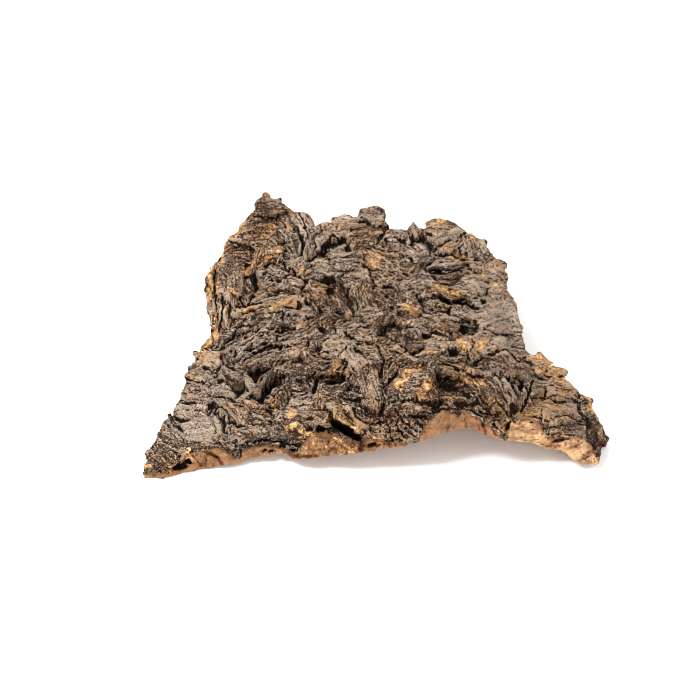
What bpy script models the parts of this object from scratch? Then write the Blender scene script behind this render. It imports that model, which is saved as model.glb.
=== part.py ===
"""A broken slab of virgin cork bark, lying with its weathered outer side up.

One piece, because it grew as one: a curved slab about 26 cm wide, 22 cm deep and 6 cm high. Its
underside is an arch, low on the left and curling down steeply on the right, and it rests on flat worn
pads along both sides. Its top is broken into raised plates with fissures between them.

The outline and the plates are laid out as they look in a view from the front, from 34 degrees above the
table, in a square frame of 700 by 700 units. plan_of() lays such a point on the bark in millimetres.
"""

import math

import bmesh
import bpy
import numpy as np

# The view that the layout is drawn in
VIEW_ELEVATION = math.radians(34.0)
VIEW_DISTANCE = 950.0  # from the eye to the point looked at
VIEW_WIDTH = 420.0  # what the frame spans there
FRAME = 700.0

# The slab
LEFT_FRONT, LEFT_BACK = (-116.0, -98.0), (-90.0, 85.0)  # the line that the left side rests on
RIGHT_FRONT, RIGHT_BACK = (137.0, -82.0), (93.0, 60.0)  # the line that the right side rests on
ARCH_HEIGHT = 22.0
ARCH_CREST = 0.70  # how far across the slab the arch is highest
PAD = 0.45  # how much of the arch's foot is worn flat
CURL = 20.0  # how far the corner at the back left curls up off the table
CURL_START = 72.0  # how far back it starts
THICKNESS = 21.0
RIM_REACH = 13.0  # how far in from the edge the rim's own height is felt
PLATE_CROWN = 2.4
FISSURE_DEPTH = 6.5
FISSURE_WIDTH = 5.5  # in view units, from its middle to a plate's shoulder
CENTRE = (14.59, 21.71)  # the middle of the slab on the table, which becomes the origin

COLUMNS, ROWS, RIM_BANDS = 42, 34, 2  # quads across, quads front to back, bands up the broken edge
CELL = 5.0  # the plates are averaged over this many view units, about a quad

# The front edge from left to right: where its foot is seen, and how thick the slab is there
FRONT = [
    (141, 479, 6), (150, 480, 7), (164, 479, 8), (178, 475, 9), (190, 471, 12), (204, 469, 13), (220, 466, 13),
    (236, 464, 11), (252, 459, 11), (268, 456, 13), (284, 454, 17), (292, 458, 19), (306, 460, 20), (322, 457, 24),
    (340, 455, 26), (358, 454, 26), (372, 451, 25), (388, 449, 24), (404, 446, 24), (418, 444, 22), (430, 440, 20),
    (442, 435, 19), (456, 431, 18), (468, 429, 17), (478, 431, 16), (488, 436, 15), (500, 440, 14), (514, 441, 14),
    (528, 443, 15), (540, 447, 17), (552, 450, 19), (564, 453, 20), (571, 460, 19), (581, 464, 17), (590, 465, 15),
    (598, 456, 13), (604, 444, 12),
]
# The right side, the back and the left side: where the upper rim is seen, and its height over the table
RIGHT = [
    (606, 434, 10), (604, 424, 12), (596, 413, 15), (590, 402, 17), (580, 393, 20), (573, 384, 22), (565, 371, 25),
    (556, 365, 27), (548, 361, 28), (540, 353, 30), (532, 354, 30), (525, 349, 30), (521, 332, 31), (519, 320, 32),
    (516, 309, 33), (510, 294, 34), (503, 284, 35), (505, 270, 36),
]
BACK = [
    (504, 262, 38), (495, 256, 41), (486, 248, 42), (484, 241, 43), (474, 237, 44), (465, 233, 45), (458, 225, 47),
    (448, 221, 49), (436, 221, 49), (428, 224, 47), (422, 231, 44), (413, 222, 48), (407, 230, 44), (396, 229, 44),
    (387, 226, 45), (383, 213, 49), (375, 207, 51), (364, 212, 49), (360, 219, 46), (347, 217, 46), (335, 221, 45),
    (324, 225, 43), (317, 233, 39), (312, 219, 45), (304, 212, 47), (295, 213, 46), (286, 204, 48), (278, 200, 49),
    (272, 199, 50),
]
LEFT = [
    (265, 193, 50), (257, 201, 48), (250, 211, 46), (243, 220, 44), (237, 234, 39), (224, 239, 36), (220, 249, 33),
    (217, 262, 30), (211, 273, 27), (207, 286, 24), (212, 301, 23), (216, 307, 22), (213, 322, 20), (211, 338, 18),
    (203, 347, 17), (195, 353, 16), (190, 365, 15), (186, 378, 14), (180, 395, 13), (173, 411, 12), (166, 421, 11),
    (158, 433, 10), (151, 445, 9), (148, 456, 8), (142, 467, 7),
]

# Where the slab is thicker or thinner than THICKNESS: view position, reach in view units, millimetres
SWELLS = [
    (180, 440, 46, -9), (565, 405, 44, -7), (492, 320, 48, 6), (262, 225, 36, 4), (415, 385, 30, 4),
    (338, 305, 30, -5), (330, 440, 26, -2), (440, 235, 30, 3),
]

# The plates: view position, the angle of the long side (clockwise), half length, half width, rise in mm
PLATES = [
    # the peak at the back left and the blocks under it
    (269, 204, 10, 16, 13, 3), (257, 233, -5, 20, 11, 1), (237, 257, 0, 12, 13, -1), (265, 259, -33, 22, 6, 4),
    (305, 222, 60, 14, 10, 4), (289, 233, 50, 14, 9, 1), (294, 248, 75, 13, 9, 1), (310, 249, -60, 15, 8, 2),
    (326, 240, -45, 18, 6, 4), (342, 226, 0, 14, 8, 4), (232, 284, 80, 17, 11, 3), (221, 318, 80, 15, 9, -4),
    (250, 283, 70, 14, 5, -6), (278, 271, 30, 11, 5, 0), (297, 266, -20, 12, 9, 2),
    # the back edge and the hollow in the middle
    (373, 216, 0, 12, 10, 5), (365, 236, -10, 17, 12, 2), (338, 250, 0, 11, 9, -4), (321, 269, 10, 14, 8, 1),
    (342, 263, -10, 15, 7, 1), (395, 240, 0, 14, 9, 0), (385, 258, 20, 15, 9, -1), (358, 278, 0, 13, 9, 1),
    (366, 294, 80, 13, 7, 2), (338, 303, 60, 16, 12, -8), (316, 293, 20, 11, 9, 0), (350, 325, -20, 14, 10, 1),
    (318, 330, -50, 16, 12, 0), (385, 299, 30, 11, 10, 0), (372, 312, 0, 12, 8, 1), (385, 276, 0, 12, 8, -2),
    # the blocks along the back right
    (415, 230, 85, 10, 4, 6), (443, 231, 0, 18, 10, 4), (453, 247, -30, 24, 6, 3), (418, 250, 35, 14, 9, -3),
    (404, 266, 0, 12, 8, -4), (471, 250, 60, 15, 9, 4), (493, 269, 0, 14, 12, 3), (450, 263, -10, 16, 8, 1),
    (427, 264, -38, 14, 4, 3), (452, 276, 0, 18, 7, -1), (420, 281, 0, 14, 7, 1), (473, 288, 15, 18, 10, 4),
    (443, 292, 0, 12, 7, 1),
    # the smooth shoulder on the right and the plates beside it
    (498, 311, 80, 28, 19, 3), (438, 304, 0, 16, 6, -3), (462, 309, 20, 16, 6, 1), (440, 317, 10, 15, 6, 0),
    (410, 308, 20, 11, 8, 1), (415, 322, 10, 15, 8, 0), (467, 328, 10, 11, 7, -7), (444, 328, 10, 18, 7, 2),
    (379, 327, -45, 14, 5, 4), (366, 336, 20, 11, 8, 0), (394, 335, 20, 13, 9, -7), (410, 333, 10, 11, 6, 1),
    (416, 343, 0, 15, 7, -2), (438, 343, 10, 16, 6, 0), (467, 346, 20, 10, 6, 2), (496, 349, 10, 20, 13, 3),
    (510, 368, 15, 25, 7, 1),
    # the long ridges on the left
    (262, 293, -35, 20, 8, 2), (272, 307, -12, 28, 6, 3), (257, 324, -25, 40, 10, 3), (295, 312, -15, 14, 8, 1),
    (243, 343, -20, 25, 7, 2), (298, 334, -10, 16, 11, 0), (290, 285, 10, 16, 8, 0), (211, 359, 10, 14, 9, 1),
    (229, 357, 60, 10, 7, -5), (199, 376, 10, 14, 9, 2), (200, 392, 5, 17, 8, 1), (184, 406, 10, 12, 9, 1),
    (221, 394, 25, 13, 8, 1), (235, 373, 30, 11, 9, 3), (251, 384, 42, 13, 5, 1), (254, 360, -30, 22, 5, 3),
    (265, 371, -33, 15, 4, -9), (273, 378, -33, 27, 4, 5), (277, 387, -35, 16, 4, -7), (289, 359, -15, 22, 7, 4),
    (297, 371, -5, 19, 8, 2), (281, 399, 70, 14, 9, 2),
    # the left wing and the front left
    (243, 404, 25, 14, 6, 0), (234, 416, 50, 17, 9, 5), (218, 421, 62, 14, 7, -7), (199, 431, 0, 18, 12, 0),
    (173, 433, 40, 14, 11, 0), (163, 455, 40, 18, 12, 0), (185, 455, 0, 10, 7, 1), (188, 466, 10, 10, 5, -6),
    (214, 452, 0, 18, 9, 0), (257, 433, 0, 34, 8, 3), (268, 446, -3, 30, 5, -1), (298, 436, 10, 13, 10, 3),
    (281, 415, 0, 14, 8, 0), (300, 404, 10, 12, 10, 1), (262, 418, 0, 13, 7, 0),
    # the middle of the front, around the open cavity
    (326, 394, 0, 17, 12, 4), (314, 382, 70, 13, 4, -6), (336, 369, -45, 13, 5, 3), (330, 379, 0, 9, 5, -6),
    (354, 359, 50, 13, 12, 4), (336, 346, 0, 13, 7, 2), (313, 362, 10, 13, 8, 1), (318, 420, 0, 10, 8, 4),
    (349, 421, 38, 20, 7, 5), (338, 441, 10, 20, 11, -10), (356, 398, 0, 10, 8, 1), (366, 418, 0, 11, 9, 2),
    (370, 392, 80, 18, 12, 4), (362, 440, 0, 10, 8, -2),
    # the front right, over the arch
    (368, 352, 0, 11, 8, 1), (389, 350, 0, 12, 8, -3), (389, 374, -55, 14, 8, 0), (406, 361, 0, 11, 7, 3),
    (430, 367, -40, 15, 8, 3), (416, 386, 0, 21, 12, 7), (459, 370, 12, 21, 5, 3), (428, 352, 0, 13, 6, -1),
    (452, 355, 0, 14, 6, -5), (447, 385, 10, 13, 8, -9), (467, 395, 30, 12, 9, -4), (491, 402, 55, 24, 6, 1),
    (474, 409, 25, 26, 6, -1), (507, 391, 65, 16, 9, 1), (416, 407, 0, 21, 7, -3), (393, 414, -60, 16, 9, 0),
    (410, 430, 50, 15, 10, -2), (384, 432, 0, 14, 9, -1), (445, 415, 0, 18, 9, -2), (505, 425, 50, 14, 8, -1),
    # the right wing
    (523, 396, 70, 16, 8, -5), (551, 366, 20, 18, 9, 1), (559, 388, 10, 18, 11, 2), (556, 412, 10, 22, 10, 1),
    (591, 411, 60, 16, 8, 1), (596, 434, 75, 13, 8, -1), (529, 415, 0, 11, 10, -1), (538, 386, 0, 11, 9, -1),
    (572, 434, 10, 18, 9, 0), (540, 432, 10, 14, 8, -1),
]

SIN, COS = math.sin(VIEW_ELEVATION), math.cos(VIEW_ELEVATION)
EYE = np.array([0.0, -VIEW_DISTANCE * COS, 20.0 + VIEW_DISTANCE * SIN])
UNITS = FRAME * VIEW_DISTANCE / VIEW_WIDTH  # view units for each unit of slope from the line of sight


def view_of(x, y, z):
    """Where a point of the bark is seen."""
    depth = (y - EYE[1]) * COS - (z - EYE[2]) * SIN
    return FRAME / 2 + UNITS * x / depth, FRAME / 2 - UNITS * ((y - EYE[1]) * SIN + (z - EYE[2]) * COS) / depth


def plan_of(across, down, z):
    """The point at height z that is seen there."""
    right, up = (np.asarray(across, float) - FRAME / 2) / UNITS, (FRAME / 2 - np.asarray(down, float)) / UNITS
    reach = (z - EYE[2]) / (up * COS - SIN)
    return right * reach, EYE[1] + (COS + up * SIN) * reach


def smooth(t):
    t = np.clip(t, 0.0, 1.0)
    return t * t * (3.0 - 2.0 * t)


def arch(x, y):
    """The height of the underside, with the feet worn flat on the table."""
    left = LEFT_FRONT[0] + (y - LEFT_FRONT[1]) * (LEFT_BACK[0] - LEFT_FRONT[0]) / (LEFT_BACK[1] - LEFT_FRONT[1])
    right = RIGHT_FRONT[0] + (y - RIGHT_FRONT[1]) * (RIGHT_BACK[0] - RIGHT_FRONT[0]) / (RIGHT_BACK[1] - RIGHT_FRONT[1])
    across = np.clip((x - left) / (right - left), 0.0, 1.0)
    skew = math.log(0.5) / math.log(ARCH_CREST)
    rise = ARCH_HEIGHT * (1.0 + 0.10 * np.cos(y * math.pi / 210.0)) * np.sin(math.pi * across**skew)
    wander = 0.9 * np.sin(x / 17.0 + y / 41.0) * np.sin(y / 23.0 - x / 67.0) * np.clip(rise / 6.0, 0.0, 1.0)
    curl = CURL * smooth((y - CURL_START) / 50.0) * (1.0 - 0.8 * smooth(across / 0.6))
    return np.maximum(rise + wander - PAD, 0.0) + curl


def side(rows, upper):
    """One side of the outline as rows of x, y and the height of its upper rim."""
    rows = np.array(rows, float)
    if upper:
        x, y = plan_of(rows[:, 0], rows[:, 1], rows[:, 2])
        return np.column_stack([x, y, rows[:, 2]])
    z = np.zeros(len(rows))
    for _ in range(12):  # the foot is where the line of sight meets the underside
        x, y = plan_of(rows[:, 0], rows[:, 1], z)
        z = arch(x, y)
    return np.column_stack([x, y, z + rows[:, 2]])


def evenly(rows, count):
    """A line of points as count + 1 points the same distance apart."""
    steps = np.concatenate([[0.0], np.cumsum(np.hypot(*np.diff(rows[:, :2], axis=0).T))])
    at = np.linspace(0.0, steps[-1], count + 1)
    return np.column_stack([np.interp(at, steps, rows[:, i]) for i in range(3)])


def swell(across, down):
    """The slab's thickness away from its rim."""
    total = np.full(np.shape(across), THICKNESS)
    for px, py, reach, more in SWELLS:
        total = total + more * np.exp(-((across - px) ** 2 + (down - py) ** 2) / (2 * reach * reach))
    return total


def body_top(x, y):
    """The height of the top with no plates or fissures."""
    z = arch(x, y) + THICKNESS
    for _ in range(3):
        z = arch(x, y) + swell(*view_of(x, y, z))
    return z


def plates_at(across, down):
    """How much the plates and the fissures between them raise or lower the top at a view position."""
    across = across + 3.5 * np.sin(down / 9.0 + across / 23.0) + 1.5 * np.sin(across / 4.1 - down / 7.0)
    down = down + 3.0 * np.sin(across / 11.0 - down / 19.0) + 1.5 * np.sin(down / 3.7 + across / 6.0)
    first = np.full(np.shape(across), 1e9)
    second, rise, beside = first.copy(), np.zeros(np.shape(across)), np.zeros(np.shape(across))
    slope, slope_beside = np.ones(np.shape(across)), np.ones(np.shape(across))
    for px, py, turn, half_long, half_wide, up in PLATES:
        c, s = math.cos(math.radians(turn)), math.sin(math.radians(turn))
        u = ((across - px) * c + (down - py) * s) / half_long
        v = ((down - py) * c - (across - px) * s) / half_wide
        away = np.hypot(u, v) + 1e-9
        steep = np.hypot(u / half_long, v / half_wide) / away
        nearest, next_one = away < first, (away >= first) & (away < second)
        second = np.where(nearest, first, np.where(next_one, away, second))
        beside = np.where(nearest, rise, np.where(next_one, up, beside))
        slope_beside = np.where(nearest, slope, np.where(next_one, steep, slope_beside))
        first, rise, slope = np.where(nearest, away, first), np.where(nearest, up, rise), np.where(nearest, steep, slope)
    gap = (second - first) / (slope + slope_beside)  # to the line where two plates meet
    near = np.clip(1.0 - gap / FISSURE_WIDTH, 0.0, 1.0)
    own = 1.0 - 0.5 * np.clip(1.0 - gap / 3.0, 0.0, 1.0)
    crown = PLATE_CROWN * (1.0 - np.minimum(first, 1.4) ** 2)
    return rise * own + beside * (1.0 - own) + crown - FISSURE_DEPTH * near * near * (3 - 2 * near)


def top(x, y, outline):
    """The height of the top: the body, pulled to the rim's height near the edge, with its plates."""
    body = body_top(x, y)
    away = np.hypot(x[:, None] - outline[:, 0], y[:, None] - outline[:, 1])
    nearest = away.min(axis=1)
    pull = 1.0 / (away + 1.0) ** 3
    rim = (pull * outline[:, 2]).sum(axis=1) / pull.sum(axis=1)
    felt = np.exp(-((nearest / RIM_REACH) ** 2))
    across, down = view_of(x, y, body)
    spots = [(i * CELL / 2, j * CELL / 2) for i in (-1, 0, 1) for j in (-1, 0, 1)]
    detail = sum(plates_at(across + i, down + j) for i, j in spots) / len(spots) * (1.0 - 0.75 * felt)
    return np.maximum(rim * felt + body * (1.0 - felt) + detail, arch(x, y) + 4.5)


def clear_scene():
    for obj in list(bpy.data.objects):
        bpy.data.objects.remove(obj, do_unlink=True)


def cork():
    material = bpy.data.materials.new("weathered_cork")
    material.use_nodes = True
    shader = material.node_tree.nodes["Principled BSDF"]
    shader.inputs["Base Color"].default_value = (0.16, 0.115, 0.08, 1.0)
    shader.inputs["Roughness"].default_value = 0.9
    shader.inputs["Metallic"].default_value = 0.0
    material.diffuse_color = (0.16, 0.115, 0.08, 1.0)
    return material


def main():
    clear_scene()
    front, right = side(FRONT, False), side(RIGHT, True)
    back, left = side(BACK, True), side(LEFT, True)
    right = np.vstack([front[-1:], right, back[:1]])
    back = np.vstack([back, left[:1]])
    left = np.vstack([left, front[:1]])
    edges = [evenly(front, COLUMNS), evenly(right, ROWS), evenly(back, COLUMNS)[::-1], evenly(left, ROWS)[::-1]]
    outline = np.vstack([evenly(rows, 90) for rows in (front, right, back, left)])

    # A flat grid, stretched to the outline: each of its points is blended from the four sides
    mesh = bmesh.new()
    bmesh.ops.create_grid(mesh, x_segments=COLUMNS, y_segments=ROWS, size=0.5)
    mesh.verts.ensure_lookup_table()
    grid = np.array([v.co[:2] for v in mesh.verts]) + 0.5
    u, v = grid[:, 0:1], grid[:, 1:2]
    column, row = np.rint(grid[:, 0] * COLUMNS).astype(int), np.rint(grid[:, 1] * ROWS).astype(int)
    low, far, high, near = (e[:, :2] for e in edges)
    corners = (1 - u) * (1 - v) * low[0] + u * (1 - v) * low[-1] + (1 - u) * v * high[0] + u * v * high[-1]
    plan = (1 - v) * low[column] + v * high[column] + (1 - u) * near[row] + u * far[row] - corners
    x, y = plan[:, 0], plan[:, 1]
    heights, feet = top(x, y, outline), arch(x, y)
    for vert, px, py, pz in zip(mesh.verts, x, y, heights):
        vert.co = (px, py, pz)

    # The underside is the same grid, drawn down to the arch, and the broken edge joins the two
    upper = list(mesh.verts)
    foot = {i: (x[i], y[i], feet[i]) for i in range(len(upper))}
    made = bmesh.ops.extrude_face_region(mesh, geom=list(mesh.faces), use_keep_orig=True)
    lower = [e for e in made["geom"] if isinstance(e, bmesh.types.BMVert)]
    by_place = {(round(vert.co.x, 4), round(vert.co.y, 4)): i for i, vert in enumerate(upper)}
    for vert in lower:
        vert.co = foot[by_place[(round(vert.co.x, 4), round(vert.co.y, 4))]]
    bmesh.ops.recalc_face_normals(mesh, faces=list(mesh.faces))
    rim = [
        edge
        for edge in mesh.edges
        if abs(edge.verts[0].co.x - edge.verts[1].co.x) < 1e-3
        and abs(edge.verts[0].co.y - edge.verts[1].co.y) < 1e-3
    ]
    cut = bmesh.ops.subdivide_edges(mesh, edges=rim, cuts=RIM_BANDS - 1, use_grid_fill=True)
    for vert in (e for e in cut["geom_inner"] if isinstance(e, bmesh.types.BMVert)):
        bulge = 0.9 * math.sin(vert.co.x / 5.3 + vert.co.z / 2.9) * math.sin(vert.co.y / 4.7 - vert.co.z / 3.7)
        away = math.hypot(vert.co.x - CENTRE[0], vert.co.y - CENTRE[1])
        vert.co.x += bulge * (vert.co.x - CENTRE[0]) / away
        vert.co.y += bulge * (vert.co.y - CENTRE[1]) / away
    for vert in mesh.verts:
        vert.co.x -= CENTRE[0]
        vert.co.y -= CENTRE[1]
        vert.co *= 0.001
    bmesh.ops.triangulate(mesh, faces=list(mesh.faces))
    bmesh.ops.recalc_face_normals(mesh, faces=list(mesh.faces))

    data = bpy.data.meshes.new("bark")
    mesh.to_mesh(data)
    mesh.free()
    data.materials.append(cork())
    collection = bpy.data.collections.new("piece_of_bark")
    bpy.context.scene.collection.children.link(collection)
    collection.objects.link(bpy.data.objects.new("bark", data))
    data.shade_smooth()


main()
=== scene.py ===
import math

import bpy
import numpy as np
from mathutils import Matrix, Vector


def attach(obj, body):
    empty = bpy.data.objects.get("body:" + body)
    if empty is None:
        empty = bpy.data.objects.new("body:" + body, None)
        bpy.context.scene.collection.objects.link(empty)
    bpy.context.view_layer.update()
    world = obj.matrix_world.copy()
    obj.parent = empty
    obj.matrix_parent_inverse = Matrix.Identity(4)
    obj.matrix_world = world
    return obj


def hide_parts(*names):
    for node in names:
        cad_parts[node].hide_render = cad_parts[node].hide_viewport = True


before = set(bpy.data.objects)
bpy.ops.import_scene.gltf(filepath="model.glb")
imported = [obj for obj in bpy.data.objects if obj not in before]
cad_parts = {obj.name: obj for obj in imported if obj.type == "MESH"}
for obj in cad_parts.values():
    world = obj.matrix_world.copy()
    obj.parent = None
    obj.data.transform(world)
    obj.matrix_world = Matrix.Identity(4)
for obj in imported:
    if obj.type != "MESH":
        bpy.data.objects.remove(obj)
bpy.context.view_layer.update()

# A piece of weathered cork bark on a plain pale floor.
#
# The bark is one closed surface. Its plates, fissures, layers and flakes are first laid out on a canvas, as they look
# from the camera, in view units (the frame is 700 by 700 of them). The canvas is then wrapped over the curved slab of
# the CAD model, as a solid in space whose plates lean and overhang, and the skin of that solid becomes the mesh.

F32 = np.float32

# ---------------------------------------------------------------- the slab, as in the CAD model (millimetres)
VIEW_ELEVATION = math.radians(34.0)
VIEW_DISTANCE = 950.0
VIEW_WIDTH = 420.0
FRAME = 700.0
LEFT_FRONT, LEFT_BACK = (-116.0, -98.0), (-90.0, 85.0)
RIGHT_FRONT, RIGHT_BACK = (137.0, -82.0), (93.0, 60.0)
ARCH_HEIGHT = 22.0
ARCH_CREST = 0.70
PAD = 0.45
CURL = 20.0
CURL_START = 72.0
THICKNESS = 21.0
RIM_REACH = 13.0
CENTRE = (14.59, 21.71)

FRONT = [
    (141, 479, 6), (150, 480, 7), (164, 479, 8), (178, 475, 9), (190, 471, 12), (204, 469, 13), (220, 466, 13),
    (236, 464, 11), (252, 459, 11), (268, 456, 13), (284, 454, 17), (292, 458, 19), (306, 460, 20), (322, 457, 24),
    (340, 455, 26), (358, 454, 26), (372, 451, 25), (388, 449, 24), (404, 446, 24), (418, 444, 22), (430, 440, 20),
    (442, 435, 19), (456, 431, 18), (468, 429, 17), (478, 431, 16), (488, 436, 15), (500, 440, 14), (514, 441, 14),
    (528, 443, 15), (540, 447, 17), (552, 450, 19), (564, 453, 20), (571, 460, 19), (581, 464, 17), (590, 465, 15),
    (598, 456, 13), (604, 444, 12),
]
RIGHT = [
    (606, 434, 10), (604, 424, 12), (596, 413, 15), (590, 402, 17), (580, 393, 20), (573, 384, 22), (565, 371, 25),
    (556, 365, 27), (548, 361, 28), (540, 353, 30), (532, 354, 30), (525, 349, 30), (521, 332, 31), (519, 320, 32),
    (516, 309, 33), (510, 294, 34), (503, 284, 35), (505, 270, 36),
]
BACK = [
    (504, 262, 38), (495, 256, 41), (486, 248, 42), (484, 241, 43), (474, 237, 44), (465, 233, 45), (458, 225, 47),
    (448, 221, 49), (436, 221, 49), (428, 224, 47), (422, 231, 44), (413, 222, 48), (407, 230, 44), (396, 229, 44),
    (387, 226, 45), (383, 213, 49), (375, 207, 51), (364, 212, 49), (360, 219, 46), (347, 217, 46), (335, 221, 45),
    (324, 225, 43), (317, 233, 39), (312, 219, 45), (304, 212, 47), (295, 213, 46), (286, 204, 48), (278, 200, 49),
    (272, 199, 50),
]
LEFT = [
    (265, 193, 50), (257, 201, 48), (250, 211, 46), (243, 220, 44), (237, 234, 39), (224, 239, 36), (220, 249, 33),
    (217, 262, 30), (211, 273, 27), (207, 286, 24), (212, 301, 23), (216, 307, 22), (213, 322, 20), (211, 338, 18),
    (203, 347, 17), (195, 353, 16), (190, 365, 15), (186, 378, 14), (180, 395, 13), (173, 411, 12), (166, 421, 11),
    (158, 433, 10), (151, 445, 9), (148, 456, 8), (142, 467, 7),
]
SWELLS = [
    (180, 440, 46, -9), (565, 405, 44, -7), (492, 320, 48, 6), (262, 225, 36, 4), (415, 385, 30, 4),
    (338, 305, 30, -5), (330, 440, 26, -2), (440, 235, 30, 3),
]
PLATES = [
    (269, 204, 10, 16, 13, 3), (257, 233, -5, 20, 11, 1), (237, 257, 0, 12, 13, -1), (265, 259, -33, 22, 6, 4),
    (305, 222, 60, 14, 10, 4), (289, 233, 50, 14, 9, 1), (294, 248, 75, 13, 9, 1), (310, 249, -60, 15, 8, 2),
    (326, 240, -45, 18, 6, 4), (342, 226, 0, 14, 8, 4), (232, 284, 80, 17, 11, 3), (221, 318, 80, 15, 9, -4),
    (250, 283, 70, 14, 5, -6), (278, 271, 30, 11, 5, 0), (297, 266, -20, 12, 9, 2),
    (373, 216, 0, 12, 10, 5), (365, 236, -10, 17, 12, 2), (338, 250, 0, 11, 9, -4), (321, 269, 10, 14, 8, 1),
    (342, 263, -10, 15, 7, 1), (395, 240, 0, 14, 9, 0), (385, 258, 20, 15, 9, -1), (358, 278, 0, 13, 9, 1),
    (366, 294, 80, 13, 7, 2), (338, 303, 60, 16, 12, -8), (316, 293, 20, 11, 9, 0), (350, 325, -20, 14, 10, 1),
    (318, 330, -50, 16, 12, 0), (385, 299, 30, 11, 10, 0), (372, 312, 0, 12, 8, 1), (385, 276, 0, 12, 8, -2),
    (415, 230, 85, 10, 4, 6), (443, 231, 0, 18, 10, 4), (453, 247, -30, 24, 6, 3), (418, 250, 35, 14, 9, -3),
    (404, 266, 0, 12, 8, -4), (471, 250, 60, 15, 9, 4), (493, 269, 0, 14, 12, 3), (450, 263, -10, 16, 8, 1),
    (427, 264, -38, 14, 4, 3), (452, 276, 0, 18, 7, -1), (420, 281, 0, 14, 7, 1), (473, 288, 15, 18, 10, 4),
    (443, 292, 0, 12, 7, 1),
    (498, 311, -10, 19, 28, 3), (438, 304, 0, 16, 6, -3), (462, 309, 20, 16, 6, 1), (440, 317, 10, 15, 6, 0),
    (410, 308, 20, 11, 8, 1), (415, 322, 10, 15, 8, 0), (467, 328, 10, 11, 7, -7), (444, 328, 10, 18, 7, 2),
    (379, 327, -45, 14, 5, 4), (366, 336, 20, 11, 8, 0), (394, 335, 20, 13, 9, -7), (410, 333, 10, 11, 6, 1),
    (416, 343, 0, 15, 7, -2), (438, 343, 10, 16, 6, 0), (467, 346, 20, 10, 6, 2), (496, 349, 10, 20, 13, 3),
    (510, 368, 15, 25, 7, 1),
    (262, 293, -35, 20, 8, 2), (272, 307, -12, 28, 6, 3), (257, 324, -25, 40, 10, 3), (295, 312, -15, 14, 8, 1),
    (243, 343, -20, 25, 7, 2), (298, 334, -10, 16, 11, 0), (290, 285, 10, 16, 8, 0), (211, 359, 10, 14, 9, 1),
    (229, 357, 60, 10, 7, -5), (199, 376, 10, 14, 9, 2), (200, 392, 5, 17, 8, 1), (184, 406, 10, 12, 9, 1),
    (221, 394, 25, 13, 8, 1), (235, 373, 30, 11, 9, 3), (251, 384, 42, 13, 5, 1), (254, 360, -30, 22, 5, 3),
    (265, 371, -33, 15, 4, -9), (273, 378, -33, 27, 4, 5), (277, 387, -35, 16, 4, -7), (289, 359, -15, 22, 7, 4),
    (297, 371, -5, 19, 8, 2), (281, 399, 70, 14, 9, 2),
    (243, 404, 25, 14, 6, 0), (236, 414, 50, 17, 9, 4), (220, 424, 62, 14, 5, -2), (199, 431, 0, 18, 12, 0),
    (173, 433, 40, 14, 11, 0), (163, 455, 40, 18, 12, 0), (185, 455, 0, 10, 7, 1), (188, 466, 10, 10, 5, -6),
    (214, 452, 0, 18, 9, 0), (257, 433, 0, 34, 8, 3), (268, 446, -3, 30, 5, -1), (298, 436, 10, 13, 10, 3),
    (281, 415, 0, 14, 8, 0), (300, 404, 10, 12, 10, 1), (262, 418, 0, 13, 7, 0),
    (326, 394, 0, 17, 12, 4), (314, 382, 70, 13, 4, -6), (336, 369, -45, 13, 5, 3), (330, 379, 0, 9, 5, -6),
    (354, 359, 50, 13, 12, 4), (336, 346, 0, 13, 7, 2), (313, 362, 10, 13, 8, 1), (318, 420, 0, 10, 8, 4),
    (349, 421, 38, 20, 6, 6.5), (338, 441, 10, 20, 11, -10), (356, 398, 0, 10, 8, 1), (366, 418, 0, 11, 9, 2),
    (370, 392, 80, 18, 12, 4), (362, 440, 0, 10, 8, -2),
    (368, 352, 0, 11, 8, 1), (389, 350, 0, 12, 8, -3), (389, 374, -55, 14, 8, 0), (406, 361, 0, 11, 7, 3),
    (430, 367, -40, 15, 8, 3), (416, 386, 0, 21, 12, 5.5), (459, 370, 12, 21, 5, 3), (428, 352, 0, 13, 6, -1),
    (452, 355, 0, 14, 6, -5), (448, 386, 10, 15, 7, -7), (467, 396, 30, 12, 8, -3), (491, 402, 55, 24, 6, 1),
    (474, 409, 25, 26, 6, -1), (507, 391, 65, 16, 9, 1), (416, 407, 0, 21, 7, -3), (393, 414, -60, 16, 9, 0),
    (410, 430, 50, 15, 10, -2), (384, 432, 0, 14, 9, -1), (445, 415, 0, 18, 9, -2), (505, 425, 50, 14, 8, -1),
    (523, 396, 70, 16, 8, -5), (551, 366, 20, 18, 9, 1), (559, 388, 10, 18, 11, 2), (556, 412, 10, 22, 10, 1),
    (591, 411, 60, 16, 8, 1), (596, 434, 75, 13, 8, -1), (529, 415, 0, 11, 10, -1), (538, 386, 0, 11, 9, -1),
    (572, 434, 10, 18, 9, 0), (540, 432, 10, 14, 8, -1),
]

# ---------------------------------------------------------------- the canvas, in view units
A0, A1, D0, D1, PER = 112.0, 636.0, 168.0, 508.0, 2
NA, ND = int((A1 - A0) * PER), int((D1 - D0) * PER)

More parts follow.
